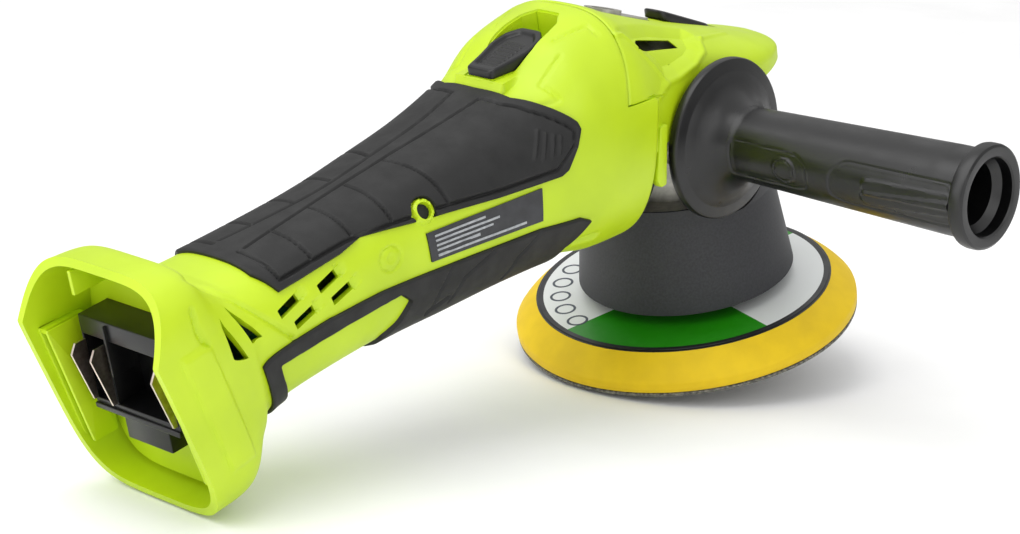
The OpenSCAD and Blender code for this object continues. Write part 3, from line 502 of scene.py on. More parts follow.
def vent_outline(centre):
    """A rectangle turned in the unrolled plane, its long side near the tool's length."""
    c, s = math.cos(math.radians(VENT_TURN)), math.sin(math.radians(VENT_TURN))
    u, v = VENT_LENGTH / 2, VENT_WIDTH / 2
    box = np.array([[-u, -v], [u, -v], [u, v], [-u, v]])
    return rounded(box @ np.array([[c, s], [-s, c]]), 0.35) + centre


def well_outline(grow=0.0):
    """The switch well's half outline in x and y: the slider's shape swept along its travel."""
    return np.array([[-88.8 - grow, 0], [-88.8 - grow, 6.2 + grow], [-80, 7.8 + grow],
                     [-72, 9.6 + grow], [-63.8, 9.6 + grow], [-57.0, 8.6 + grow],
                     [-52.4 + grow, 4.8 + grow], [-52.4 + grow, 0]])


def top_path(table, points, width_column, power_column):
    """(station, angle) of points given in x and |y| on the upper half of a lofted table."""
    fine_s = np.linspace(0, len(table) - 1, 1101)
    s = np.interp(points[:, 0], along(table, fine_s)[:, 0], fine_s)
    v = along(table, s)
    reach = np.clip(points[:, 1] / v[:, width_column], 0, 1)
    return np.stack([s, np.degrees(np.arccos(reach ** (v[:, power_column] / 2)))], -1)


def densely(points, count=14):
    """Each side of an outline cut into steps."""
    t = np.linspace(0, 1, count, endpoint=False)[:, None]
    a, b = points, np.roll(points, -1, 0)
    return np.concatenate([a[k] + (b[k] - a[k]) * t for k in range(len(points))])


shell_holes = [vent_outline(c) for c in VENTS]
shell_holes += [rounded(flat_path(w), 0.5) for w in FOOT_WINDOWS]
shell_holes += [circle(*SCREW_HOLE, SCREW_HOLE_R)]
shell_holes += [flat_path(top_path(STATIONS, densely(well_outline()), 1, 4))]

# Creases of the foot, as lines of (x, z) on its side.
PARTING_CREASE = np.array([[-252, 140], [-238, 128], [-221, 112], [-205, 93]])
PANEL_REAR = np.array([[-251, 104.6], [-242, 68.3]])
PANEL_FRONT = np.array([[-240, 112.2], [-230, 66.5]])


def shell_relief(s, angle, x, z):
    """Height of the shell's relief in mm: creases cut in, the foot's panel and platform raised."""
    flat = np.stack([x, z], -1)
    out = -0.9 * bump(to_line(flat, PARTING_CREASE)[0], 1.3) * smooth((128 - z) / 3)
    rear = PANEL_REAR[0, 0] + (PANEL_REAR[0, 1] - z) * 0.248
    front = PANEL_FRONT[0, 0] + (PANEL_FRONT[0, 1] - z) * 0.219
    panel = smooth((x - rear) / 1.2) * smooth((front - x) / 1.2)
    panel *= smooth((110 - z) / 2.5) * smooth((z - 66) / 3)
    out = out + 0.9 * panel * (angle < 75)
    skin_flat = unroll(s, angle)
    out = out - 1.2 * bump(to_line(skin_flat, flat_path(CRESCENT))[0], 1.8)
    around = [flat_path([(7.41, 62.8), (8.29, 43.5), (8.22, 62), (8.93, 63)]),
              flat_path([(9.64, 57.7), (9.64, 67.5), (9.1, 74)])]
    for line in around:
        out = out - 0.55 * bump(to_line(skin_flat, line)[0], 1.1)
    out = out - 1.3 * bump(to_line(skin_flat, flat_path([(8.15, -42), (8.64, -40)]))[0], 2.6)
    # ramps that lead out of the vents
    c, t = math.cos(math.radians(VENT_TURN)), math.sin(math.radians(VENT_TURN))
    for centre in VENTS:
        rel = skin_flat - centre
        u, v = rel[..., 0] * c + rel[..., 1] * t, rel[..., 1] * c - rel[..., 0] * t
        ramp = np.clip(1 - (u - VENT_LENGTH / 2) / 3.8, 0, 1) * (u > VENT_LENGTH / 2 - 0.2)
        out = out - 1.3 * ramp * smooth((VENT_WIDTH / 2 + 0.3 - np.abs(v)) / 0.5)
    # a plain oval badge: a fine groove round a slightly raised field
    badge = (skin_flat - unroll(5.21, 10)) / np.array([4.3, 3.8])
    rim = (np.linalg.norm(badge, axis=-1) - 1) * 4
    out = out - 0.45 * bump(rim, 0.55) + 0.25 * bump(rim + 1.9, 0.8)
    # the seam's edge is broken, and the platform behind the switch fills the skin up
    ahead = seam_x(z) - x
    out = out - 0.6 * smooth((1.1 - ahead) / 1.1)
    y = np.abs(skin(s, angle)[..., 1])
    top = along(STATIONS, s)[..., 3]
    rise = np.clip(127.7 - top, 0, 3) * smooth((x + 90.4) / 1.6) * smooth((11.2 - y) / 1.4)
    out = out + rise * (angle > 30)
    collar = np.linalg.norm(skin_flat - SCREW_HOLE, axis=-1)
    return out + 1.35 * smooth((4.1 - collar) / 0.5)


def seam_x(z):
    """x of the front seam at a height."""
    return np.interp(-z, -SEAM[:, 1], SEAM[:, 0])


def seam_station(angle, surface=skin, span=(7.4, 11.0), gap=0.0):
    """Station where a surface crosses the front seam, from the sign change on a fine sweep."""
    s = np.linspace(*span, 900)
    p = surface(s[:, None], angle[None, :])
    ahead = p[..., 0] - seam_x(p[..., 2]) - gap
    k = np.maximum((ahead > 0).argmax(0), 1)
    col = np.arange(len(angle))
    f0, f1 = ahead[k - 1, col], ahead[k, col]
    return s[k - 1] + (s[k] - s[k - 1]) * np.clip(-f0 / (f1 - f0), 0, 1)


def girth_angles(count, marks=()):
    """Angles from -90 to 90 evenly spaced by girth, with the nearest ones moved onto marks."""
    mean = GIRTH[160]
    a = np.interp(np.linspace(mean[0], mean[-1], count), mean, A_FINE)
    for mark in marks:
        a[np.abs(a - mark).argmin()] = mark
    return a


# %% [markdown]
# ### Building the two shells
# The rows keep an even spacing up to where the front seam starts to bend, and fan out to the seam
# from there, so that its edge is smooth.

# %% Build the shells
ROWS, FRONT_ROWS, COLS = 225, 60, 150
BEND = 7.4
shell_angles = girth_angles(COLS, (11.34, 8.96))


def build_shell(side, name, node_name):
    """One shell: outer grid with relief, inner grid one wall inside, openings left out of both."""
    bend_x = along(STATIONS, np.array([BEND]))[0, 0]
    back = np.interp(np.linspace(STATIONS[0, 0], bend_x, ROWS), LENGTH, S_FINE)
    ends = seam_station(shell_angles)
    t = np.linspace(0, 1, FRONT_ROWS + 1)[1:]
    front = BEND + (ends[None, :] - BEND) * t[:, None]
    s = np.concatenate([np.repeat(back[:, None], COLS, 1), front])
    a = np.repeat(shell_angles[None, :], len(s), 0)
    s, a, is_open = drill(s, a, shell_holes)
    base = skin(s, a, 0, side)
    x = base[..., 0]
    out = shell_relief(s, a, x, base[..., 2])
    out = out * smooth((np.arange(len(s)) / 3))[:, None]
    outer = skin(s, a, out, side)
    inner = skin(s, a, -SHELL_WALL, side)
    outer[:, [0, -1], 1] = inner[:, [0, -1], 1] = 0
    points, quads = walled(outer, inner, ~is_open)
    return make_piece(name, points, quads, "housing", "lime_abs", lime_abs, [node_name])


build_shell(1, "housing_shell_left", "housing_left")
build_shell(-1, "housing_shell_right", "housing_right")

# %% [markdown]
# ## Lofts, prisms and turned parts
# The smaller parts come from three makers: rings joined in order, an outline lifted through levels
# with its edges drawn in, and a profile turned about an axis.

# %% Makers
def loft(rings):
    """Points and quads of closed rings joined in order; each end is closed to its middle."""
    rings = np.asarray(rings, float)
    ends = [np.repeat(r.mean(0)[None, None], rings.shape[1], 1) for r in (rings[0], rings[-1])]
    rings = np.concatenate([ends[0], rings, ends[1]])
    rings = np.concatenate([rings, rings[:, :1]], 1)
    return rings.reshape(-1, 3), cells(*rings.shape[:2]).reshape(-1, 4)


def drawn_in(outline, inset):
    """The outline moved inwards along its corner normals."""
    edge = np.roll(outline, -1, 0) - np.roll(outline, 1, 0)
    normal = np.stack([-edge[:, 1], edge[:, 0]], -1)
    normal /= np.maximum(np.linalg.norm(normal, axis=1, keepdims=True), 1e-9)
    area = (outline[:, 0] * np.roll(outline[:, 1], -1) - outline[:, 1]
            * np.roll(outline[:, 0], -1)).sum()
    return outline + normal * inset * np.sign(area)


def prism(outline, levels, place):
    """An outline at several (height, inset) levels; place turns (u, v, height) into x, y, z."""
    rings = []
    for height, inset in levels:
        o = drawn_in(outline, inset)
        rings.append(place(o[:, 0], o[:, 1], np.full(len(o), float(height))))
    return loft(rings)


def bevelled(low, high, r):
    """Levels for a prism whose two ends are rounded by r."""
    return [(low, r), (low + 0.3 * r, 0.3 * r), (low + r, 0), (high - r, 0),
            (high - 0.3 * r, 0.3 * r), (high, r)]


def sideways(u, v, h):
    """Outline in x and z, carried in y."""
    return np.stack([u, h, v], -1)


def box_outline(u0, u1, v0, v1, r):
    """A rectangle with rounded corners."""
    return rounded(np.array([[u0, v0], [u1, v0], [u1, v1], [u0, v1]], float), r)


def gathered(parts):
    """Several (points, quads) pairs as one."""
    points, quads, base = [], [], 0
    for p, q in parts:
        points.append(p)
        quads.append(q + base)
        base += len(p)
    return np.concatenate(points), np.concatenate(quads)


def turned(profile, place, count=96):
    """A profile of (radius, height) turned a full circle; place takes (u, v, height)."""
    profile = np.asarray(profile, float)
    t = np.linspace(0, 2 * np.pi, count + 1)
    r, h = profile[:, 0, None], np.repeat(profile[:, 1, None], count + 1, 1)
    return place(r * np.cos(t), r * np.sin(t), h).reshape(-1, 3), \
        cells(len(profile), count + 1).reshape(-1, 4)


print("makers ready")

# %% [markdown]
# ## Rubber grip and lower band
# Soft rubber is moulded over each shell in a second shot. Each piece is a patch between four edges
# on the skin, filled by Coons' rule: opposite edges are blended and the corners' share taken off.
# Grooves run inside its outline and across the fingers' places.

# %% Coons patches on the skin
def resample(path, count):
    """Points at even steps along a path of (station, angle), straight on the unrolled skin.

    A stretch along the top or bottom middle line is divided first, so that it follows that line.
    """
    path = np.asarray(path, float)
    flat = [flat_path(path[:1])]
    for a, b in zip(path[:-1], path[1:]):
        steps = 60 if abs(a[1]) == 90 and abs(b[1]) == 90 else 1
        t = np.linspace(0, 1, steps + 1)[1:, None]
        flat.append(flat_path(a + (b - a) * t))
    flat = np.concatenate(flat)
    at = np.concatenate([[0], np.cumsum(np.linalg.norm(np.diff(flat, axis=0), axis=1))])
    t = np.linspace(0, at[-1], count)
    return np.stack([np.interp(t, at, flat[:, k]) for k in (0, 1)], -1)


def coons(low, high, rear, front, rows, cols):
    """Grid of (station, angle): rows go from the rear edge forwards, columns from low to high."""
    b, t = resample(low, rows), resample(high, rows)
    l, r = resample(rear, cols), resample(front, cols)
    u, v = np.linspace(0, 1, rows)[:, None, None], np.linspace(0, 1, cols)[None, :, None]
    flat = ((1 - v) * b[:, None] + v * t[:, None] + (1 - u) * l[None] + u * r[None]
            - (1 - u) * (1 - v) * b[0] - u * (1 - v) * b[-1] - (1 - u) * v * t[0] - u * v * t[-1])
    grid = np.stack(roll_up(flat), -1)
    for column, edge in ((0, low), (-1, high)):
        if all(abs(a) == 90 for _, a in edge):
            grid[:, column, 1] = edge[0][1]
    return grid


GRIP_LOW = [(4.20, 33), (4.41, 33), (4.77, 34), (4.99, 38), (5.60, 25), (5.94, 20), (6.83, 10),
            (7.78, 4)]
GRIP_REAR = [(4.20, 33), (4.09, 60), (4.10, 90)]
GRIP_FRONT = [(7.78, 4), (7.93, 5), (8.20, 12), (8.39, 19), (8.36, 24), (8.27, 29), (7.95, 50),
              (7.73, 70), (7.70, 90)]
GRIP_LINE = [(4.25, 41.5), (4.84, 41.1), (5.95, 25.7), (6.86, 14.3), (7.73, 8), (8.10, 14),
             (8.22, 21.9), (8.04, 31.1), (7.72, 52), (7.55, 70), (7.50, 84)]
CROSS_GROOVES = [[(4.55, 44), (4.55, 86)], [(4.91, 44), (4.91, 86)], [(5.36, 36), (5.36, 86)],
                 [(6.12, 23), (5.95, 86)]]
FINGER_RIBS = [[(7.63, 36.7), (7.42, 21)], [(7.71, 32), (7.54, 18)], [(7.81, 27.6), (7.68, 16)],
               [(7.91, 24), (7.80, 15)]]
BAND_TOP = [(3.48, 0), (4.03, 0), (4.54, 0), (5.02, -1), (5.68, -4), (6.49, -8), (7.36, -12),
            (8.08, -17), (8.36, -22)]
BAND_REAR = [(3.90, -90), (3.83, -38), (3.68, -15), (3.48, 0)]
BAND_FRONT = [(7.60, -90), (7.70, -60), (7.84, -39), (8.04, -32), (8.36, -22)]
BAND_LOW = [(3.90, -90), (7.60, -90)]
BAND_WINDOW = [(3.99, -5), (4.24, -6), (4.69, -7), (5.24, -8), (5.36, -16), (5.20, -33),
               (5.05, -44), (5.0, -90), (4.15, -90), (4.10, -38), (4.02, -15)]
BAND_GROOVES = [[(5.97, -7), (5.77, -20), (5.62, -40)], [(6.60, -10), (6.14, -18), (5.95, -36)],
                [(7.33, -13), (6.97, -24), (6.80, -42)]]
BAND_LENS = [(5.63, -36), (5.77, -33), (5.91, -30)]


def rubber_piece(name, node_name, side, grid, relief):
    """A rubber patch: outer face with relief, inner face bonded into the shell, edges rolled in."""
    s, a = grid[..., 0], grid[..., 1]
    flat = unroll(s, a)
    rows, cols = s.shape
    r, c = np.arange(rows)[:, None], np.arange(cols)[None, :]
    across = c if relief["rim"] == "low" else cols - 1 - c
    edge = np.minimum(np.minimum(r, rows - 1 - r), across)
    out = relief["height"] - 0.5 * (edge == 0) - 0.12 * (edge == 1)
    groove = np.zeros(s.shape)
    for line, depth, half in relief["lines"]:
        cut = depth * bump(to_line(flat, flat_path(line))[0], half)
        groove = np.maximum(groove, cut) if depth > 0 else groove + cut
    out = out - groove
    for outline, gap_depth, soft in relief["windows"]:
        gap = to_line(flat, ring(outline))[0]
        signed = np.where(inside(flat, outline), gap, -gap)
        out = out - (out + gap_depth) * smooth(signed / soft + 0.5)
    outer, inner = skin(s, a, out, side), skin(s, a, -0.35, side)
    seam = np.abs(a) > 89.9
    outer[seam, 1] = inner[seam, 1] = 0
    points, quads = walled(outer, inner)
    return make_piece(name, points, quads, "housing", "soft_rubber", grip_rubber, [node_name])


collar_outline = circle(*SCREW_HOLE, 4.4)
grip_relief = dict(height=1.3, rim="low",
                   lines=[(GRIP_LINE, 0.95, 1.0), ([(4.3, 84), (7.5, 84)], 0.8, 0.9),
                          ([(4.25, 41.5), (4.24, 84)], 0.95, 1.0)]
                   + [(g, 0.95, 1.0) for g in CROSS_GROOVES]
                   + [(g, -0.5, 0.9) for g in FINGER_RIBS],
                   windows=[(collar_outline, 0.6, 0.6)])
band_relief = dict(height=1.3, rim="high",
                   lines=[(g, 0.7, 0.9) for g in BAND_GROOVES] + [(BAND_LENS, 1.0, 1.4)],
                   windows=[(flat_path(BAND_WINDOW), 0.7, 0.9)])
grip_grid = coons(GRIP_LOW, [(4.10, 90), (7.70, 90)], GRIP_REAR, GRIP_FRONT, 290, 126)
band_grid = coons(BAND_LOW, BAND_TOP, BAND_REAR, BAND_FRONT, 270, 120)
for side, word in ((1, "left"), (-1, "right")):
    rubber_piece(f"grip_cover_{word}", f"grip_rubber_{word}", side, grip_grid, grip_relief)
    rubber_piece(f"lower_band_{word}", f"band_rubber_{word}", side, band_grid, band_relief)

# %% [markdown]
# ## Rating film
# A dark printed film is stuck to the shell's side, as a rating plate is. It carries plain bars of
# screen-printed ink. Both follow the skin because they are cut from its unrolled plane.

# %% Rating film and bars
def between(c, u, v):
    """Point at shares u and v between four corners, by blending along both directions."""
    return (1 - u) * ((1 - v) * c[0] + v * c[3]) + u * ((1 - v) * c[1] + v * c[2])


def film(name, corners, out, thickness, side, slot, material, replaces=()):
    """A patch between four corners on the unrolled skin, thickness mm thick, at height out."""
    u, v = np.linspace(0, 1, 40)[:, None, None], np.linspace(0, 1, 24)[None, :, None]
    s, a = roll_up(between(np.asarray(corners, float), u, v))
    outer, inner = skin(s, a, out, side), skin(s, a, out - thickness, side)
    return make_piece(name, *walled(outer, inner), "housing", slot, material, replaces)


plate_film = finish("printed_dark_film", 0.3, "#202124", "#2B2C30", 4, ior=1.5,
                    grain=(0.25, 0.004))
print_ink = finish("screen_printed_grey_ink", 0.45, "#8F9296", "#A9ACAF", 2, ior=1.5)
PLATE = flat_path([(5.72, -0.6), (7.40, -7.6), (7.45, 3.6), (5.72, 13.0)])
film("rating_film", PLATE, 0.55, 0.6, -1, "plate_film", plate_film, ["rating_plate"])


for k, (v, u1) in enumerate([(0.78, 0.5), (0.62, 0.62), (0.46, 0.56), (0.30, 0.44), (0.12, 0.85)]):
    spots = ((0.06, v), (u1, v), (u1, v + 0.07), (0.06, v + 0.07))
    bar = [between(PLATE, *spot) for spot in spots]
    film(f"printed_bar_{k}", bar, 0.72, 0.3, -1, "plate_film", print_ink)

# %% [markdown]
# ## The gear head's cover
# The cover is one moulding that slopes down over the gear case and ends in a snout. Its sections
# are half superellipses with straight skirts below, and the raised ridge, the fender round the
# handle's boss, the vent slot, the boss cut-out and the button's slot are all parts of the surface.

# %% Cover surface
COVER = np.array([
    [-58, 34.2, 137.3, 2.8], [-46, 34, 138.3, 2.8], [-34, 31.5, 132, 2.7], [-14, 30, 121.8, 2.6],
    [4, 30, 113.5, 2.5], [22, 28.5, 105.5, 2.4], [36, 23, 99, 2.3], [42.5, 15.5, 96.5, 2.2],
    [45.5, 6, 95.2, 2]])
COVER_WALL = 2.2
COVER_BASE_Z = 94
SEAM_GAP = 0.4
HANDLE_X, HANDLE_Z = -10.0, 80.5
BOSS_HOLE_R = 14.6
# angles at which the seam's step, from z 110 to z 108, meets the cover
COVER_STEP = (12.6, 10.9)


def cover_skin(s, angle, out=0.0, side=1):
    """Cover point: y = half width * cos^(2/n), z = base + height * sin^(2/n), straight below."""
    s, angle, out = np.broadcast_arrays(np.asarray(s, float), np.asarray(angle, float), out)
    v = along(COVER, s)
    e = 2 / v[..., 3]
    a = np.radians(angle)
    high = np.where(angle < 0, 34.0, v[..., 2] - COVER_BASE_Z + out)
    z = COVER_BASE_Z + high * signed_power(np.sin(a), e)
    y = side * (v[..., 1] + out) * signed_power(np.cos(a), e)
    x = v[..., 0] + out * smooth((s - 6.5) / 1.5)
    return np.stack([x, y, z], -1)


def cover_flat(s, angle):
    """(x, girth) on the cover in mm: girth is three quarters of the height plus reach inwards."""
    p = cover_skin(s, angle)
    reach = along(COVER, np.asarray(s, float))[..., 1] - np.abs(p[..., 1])
    return np.stack([p[..., 0], (p[..., 2] - COVER_BASE_Z) * 0.75 + reach * 0.75], -1)


def cover_path(path):
    """A path of (station, angle) on the cover in its flat measure."""
    path = np.asarray(path, float)
    return cover_flat(path[:, 0], path[:, 1])


RIDGE = [(0.77, 51.5), (1.16, 50.4), (1.56, 37.9), (1.93, 27.4), (2.16, 15.9), (1.77, 11.4)]
VALLEY = [(0.95, 53), (1.22, 50.4), (1.62, 37.9), (1.98, 27.4), (2.10, 18.5), (2.52, 19.5),
          (3.02, 26), (3.40, 36), (3.50, 47), (3.62, 56), (3.57, 67.9), (2.47, 66.6), (1.12, 56.5)]
COVER_VENT = [(1.46, 38.5), (2.00, 51.0), (2.91, 53.5), (2.98, 44.0)]
FENDER_LINES = [[(3.70, 51.8), (4.72, 61.4)], [(2.00, 16.1), (2.52, 17.9), (3.04, 24.4),
                                               (3.44, 34.9), (3.56, 46.3), (3.70, 51.8)]]


def cover_relief(s, angle):
    """Height of the cover's relief: the valley sinks, the fender and ridge stand proud."""
    flat = cover_flat(s, angle)
    outline = cover_path(VALLEY)
    gap = to_line(flat, ring(outline))[0]
    out = -np.where(inside(flat, outline), np.minimum(2.6, 0.45 * gap), 0)
    for line in (RIDGE, *FENDER_LINES):
        out = out + 0.5 * bump(to_line(flat, cover_path(line))[0], 1.6)
    return out


def onto_outline(s, angle, outline, reach=0.6):
    """Moves cover points near a (station, angle) outline onto it, and finds the cells inside."""
    dense = densely(outline, 40)
    spots, flat = cover_flat(dense[:, 0], dense[:, 1]), cover_flat(s, angle)
    near = (flat > spots.min(0) - 2).all(-1) & (flat < spots.max(0) + 2).all(-1)
    gap = np.linalg.norm(flat[near][:, None] - spots[None], axis=-1)
    best = gap.argmin(1)
    move = gap.min(1) < reach
    rows, cols = np.nonzero(near)
    s[rows[move], cols[move]] = dense[best[move], 0]
    angle[rows[move], cols[move]] = dense[best[move], 1]
    flat = cover_flat(s, angle)
    middle = (flat[:-1, :-1] + flat[1:, :-1] + flat[:-1, 1:] + flat[1:, 1:]) / 4
    return inside(middle, spots)


def cover_window(x0, x1, half):
    """(station, angle) outline of a window in the cover's top: x from x0 to x1, |y| up to half."""
    box = np.array([[x0, 0.0], [x0, half], [x1, half], [x1, 0.0]])
    return top_path(COVER, densely(box), 1, 3)


def head_cover_piece():
    """Both halves of the cover in one grid, from the near edge over the top to the far edge."""
    rows, half_cols = 190, 96
    fine_s = np.linspace(0, 8, 1601)
    s = np.interp(np.linspace(-58, 45.5, rows), along(COVER, fine_s)[:, 0], fine_s)
    top = cover_skin(np.full(400, 2.5), np.linspace(0, 90, 400))
    arc = np.concatenate([[0], np.cumsum(np.linalg.norm(np.diff(top, axis=0), axis=1))])
    up = np.interp(np.linspace(0, arc[-1], half_cols - 4), arc, np.linspace(0, 90, 400))
    a = np.concatenate([[-4, -3, -2, -1], up])
    for mark in COVER_STEP:
        a[np.abs(a - mark).argmin()] = mark
    # the first rows fan out from the seam, one gap ahead of the shells; the rest stay level
    start = seam_station(a, cover_skin, (0.0, 4.0), SEAM_GAP)
    level = s[s > 2.2]
    t = np.linspace(0, 1, rows - len(level), endpoint=False)
    fan = start[None, :] + (level[0] - start[None, :]) * t[:, None]
    S = np.concatenate([fan, np.repeat(level[:, None], len(a), 1)])
    A = np.repeat(a[None, :], rows, 0)
    is_open = onto_outline(S, A, np.array(COVER_VENT))
    is_open |= onto_outline(S, A, cover_window(-40.0, -11.9, 8.3))
    is_open |= onto_outline(S, A, cover_window(-2.9, 25.0, 5.9))
    p = cover_skin(S, A)
    out = cover_relief(S, A) - 0.6 * smooth((1.2 - (p[..., 0] - seam_x(p[..., 2]))) / 1.2)
    # points near the hole for the handle's boss are pulled onto its circle
    axis = np.array([HANDLE_X, HANDLE_Z])
    boss = np.hypot(p[..., 0] - HANDLE_X, p[..., 2] - HANDLE_Z)
    pull = ((A < 60) & (np.abs(boss - BOSS_HOLE_R) < 0.55))[..., None]
    scale = BOSS_HOLE_R / np.maximum(boss, 1e-6)[..., None]
    near, inner_half = cover_skin(S, A, out), cover_skin(S, A, -COVER_WALL)
    for q in (near, inner_half):
        q[..., ::2] = np.where(pull, axis + (q[..., ::2] - axis) * scale, q[..., ::2])
    mid = (near[:-1, :-1] + near[1:, :-1] + near[:-1, 1:] + near[1:, 1:]) / 4
    keep = (np.hypot(mid[..., 0] - HANDLE_X, mid[..., 2] - HANDLE_Z) > BOSS_HOLE_R) & ~is_open
    flip = np.array([1, -1, 1])
    outer = np.concatenate([near * flip, near[:, -2::-1]], 1)
    inner = np.concatenate([inner_half * flip, inner_half[:, -2::-1]], 1)
    keep = np.concatenate([keep, keep[:, ::-1]], 1)
    return walled(outer, inner, keep)


make_piece("gear_cover", *head_cover_piece(), "housing", "lime_abs", lime_abs, ["head_cover"])

arm = rounded(np.array([[-41.5, 97], [-46, 79], [-44.5, 76], [-41.5, 76], [-37.5, 97]]), 1.0)
arms = [prism(arm, bevelled(*sorted((side * 30.6, side * 34.0)), 0.6), sideways)
        for side in (1, -1)]
make_piece("cover_arms", *gathered(arms), "housing", "lime_abs", lime_abs)

# %% [markdown]
# ## Black ring and skirt lip
# A black ring fills the gap between the shells' front edge and the gear case, and the skirt's
# lip wraps the case's flange. The lip is cut down where the handle's guard passes.

# %% Black ring and lip
# A black ring in the grip's rubber finish fills the gap between the shells' front edge and the gear
# case.
black_ring_angles = np.linspace(-89, 3, 60)
black_ring_start = seam_station(black_ring_angles)
black_ring_s = black_ring_start[None, :] + np.linspace(-0.25, 0.30, 10)[:, None]
for side, word in ((1, "left"), (-1, "right")):
    ring_outer = skin(black_ring_s, black_ring_angles[None, :], -2.7, side)
    ring_inner = skin(black_ring_s, black_ring_angles[None, :], -6.5, side)
    make_piece(f"seam_black_ring_{word}", *walled(ring_outer, ring_inner), "housing", "soft_rubber",
               grip_rubber)


def skirt_lip():
    """A thin ring round the flange; its top dips under a circle about the handle's axis."""
    t = np.linspace(0, 2 * np.pi, 241)
    x, y = 35 * np.cos(t), 35 * np.sin(t)
    under = 80.1 - np.sqrt(np.maximum(28.9 ** 2 - (x + 10) ** 2, 0))
    top = np.where(np.abs(y) > 31, np.minimum(57.3, np.maximum(under, 51.62)), 57.3)
    rows = [(35.0, 51.5, 0), (35.0, 0, 1), (34.8, 0.15, 1), (34.35, 0.15, 1), (34.35, 51.5, 0),
            (35.0, 51.5, 0)]
    heights = [top - 0.3 + h if is_top else np.full(len(t), h) for _, h, is_top in rows]
    grid = np.stack([np.stack([r * np.cos(t), r * np.sin(t), z], -1)
                     for (r, _, _), z in zip(rows, heights)])
    return grid.reshape(-1, 3), cells(*grid.shape[:2]).reshape(-1, 4)


make_piece("skirt_lip", *skirt_lip(), "housing", "skirt_plastic", skirt_nylon)

# %% [markdown]
# ## Slide switch and spindle lock
# The slider's outline is long and pointed; its thumb face rises to the front with a dished top and
# cross ribs. The lock button is a pill lying on the sloping cover, with a leg down to its spring.

# %% Controls
SLIDER_OUTLINE = rounded(np.array([
    [-88.2, -5.6], [-80, -7.2], [-72, -9.0], [-65.5, -8.0], [-61.2, -4.3], [-61.2, 4.3],
    [-65.5, 8.0], [-72, 9.0], [-80, 7.2], [-88.2, 5.6]]), 1.2)


def slider_piece():
    """Outline drawn to its middle in even shares; the top climbs forwards, dished, with ribs."""
    share = np.concatenate([[1, 1, 0.985, 0.95], np.linspace(0.92, 0, 60)])
    edge_drop = (0.9, 0.35, 0.1)
    middle = np.array([-73.5, 0])
    count = 120
    closed = ring(SLIDER_OUTLINE)
    at = np.concatenate([[0], np.cumsum(np.linalg.norm(np.diff(closed, axis=0), axis=1))])
    t = np.linspace(0, at[-1], count, endpoint=False)
    edge = np.stack([np.interp(t, at, closed[:, k]) for k in (0, 1)], -1)
    rings = [np.concatenate([edge, np.full((count, 1), 127.9)], 1)]
    for k, f in enumerate(share[1:]):
        p = middle + (edge - middle) * f
        ahead = np.maximum(p[:, 0] + 88.2, 0) / 27
        z = 130.8 + 4.0 * ahead ** 1.3
        if k < len(edge_drop):
            z = z - edge_drop[k]
        else:
            dish = smooth((0.84 - f) / 0.12)
            ribbed = smooth((4.2 - np.abs(p[:, 1])) / 0.5) * smooth((-69 - p[:, 0]) / 1.0)
            z = z - dish * (1.0 - 0.4 * ribbed * (1 + np.cos(2 * np.pi * p[:, 0] / 2.1)) / 2)
        rings.append(np.stack([p[:, 0], p[:, 1], z], -1))
    return loft(rings)


make_piece("thumb_slider", *slider_piece(), "switch", "black_nylon", switch_acetal,
           ["switch_slider"], sharp=math.radians(50))

lock_slope = (105.6 - 119.6) / 24.1


def lock_place(u, v, h):
    """Pill outline in x and y, lifted square to the sloping cover from the button's top line."""
    return np.stack([u, v, 118.75 + (u + 1.2) * lock_slope + h], -1)


pill = rounded(np.array([[-2.2, -5.3], [23.8, -5.3], [23.8, 5.3], [-2.2, 5.3]]), 5.0, 9)
lock_levels = [(-2.6, 0), (0.0, 0), (0.5, 0.25), (0.85, 0.9), (0.95, 1.8), (0.7, 2.3), (0.6, 3.2)]
lock_points, lock_quads = prism(pill, lock_levels, lock_place)
lock_points[:, 2] = np.maximum(lock_points[:, 2], 103.4)
make_piece("lock_key", lock_points, lock_quads, "lock", "black_nylon", switch_acetal,
           ["lock_button"], sharp=math.radians(45))
leg_side = np.array([[10.6, 103.35], [23.2, 103.35], [23.2, 103.9], [10.6, 110.6]])
make_piece("lock_leg", *prism(leg_side, bevelled(-4.4, 4.4, 0.3), sideways), "lock",
           "black_nylon", switch_acetal)


def well_tray():
    """A tub under the slider: outer wall, top edge that follows the skin, inner wall and floor."""
    half = densely(well_outline(0.3)[:-1], 8)[:-8]
    half = np.concatenate([half, well_outline(0.3)[-2:]])
    o = np.concatenate([half[1:], half[-2:0:-1] * np.array([1, -1])])
    s_a = top_path(STATIONS, np.abs(o) * np.array([-1, 1]), 1, 4)
    high = skin(s_a[:, 0], s_a[:, 1])[:, 2] - 0.7
    rings = []
    for inset, low, follow in ((0, 121.0, 0), (0, 127.0, 1), (0.9, 127.0, 1), (0.9, 127.6, 0)):
        q = drawn_in(o, inset)
        z = np.maximum(high, low) if follow else np.full(len(o), low)
        rings.append(np.stack([q[:, 0], q[:, 1], z], -1))
    return loft(rings)


make_piece("switch_well_tray", *well_tray(), "housing", "lime_abs", lime_abs)

# %% [markdown]
# ## Inside the battery foot
# The open foot shows the terminal block with its contact fins, a lime bulkhead round it, and the
# rails that the battery slides on.

# %% Battery foot
BULKHEAD_X = -236.0


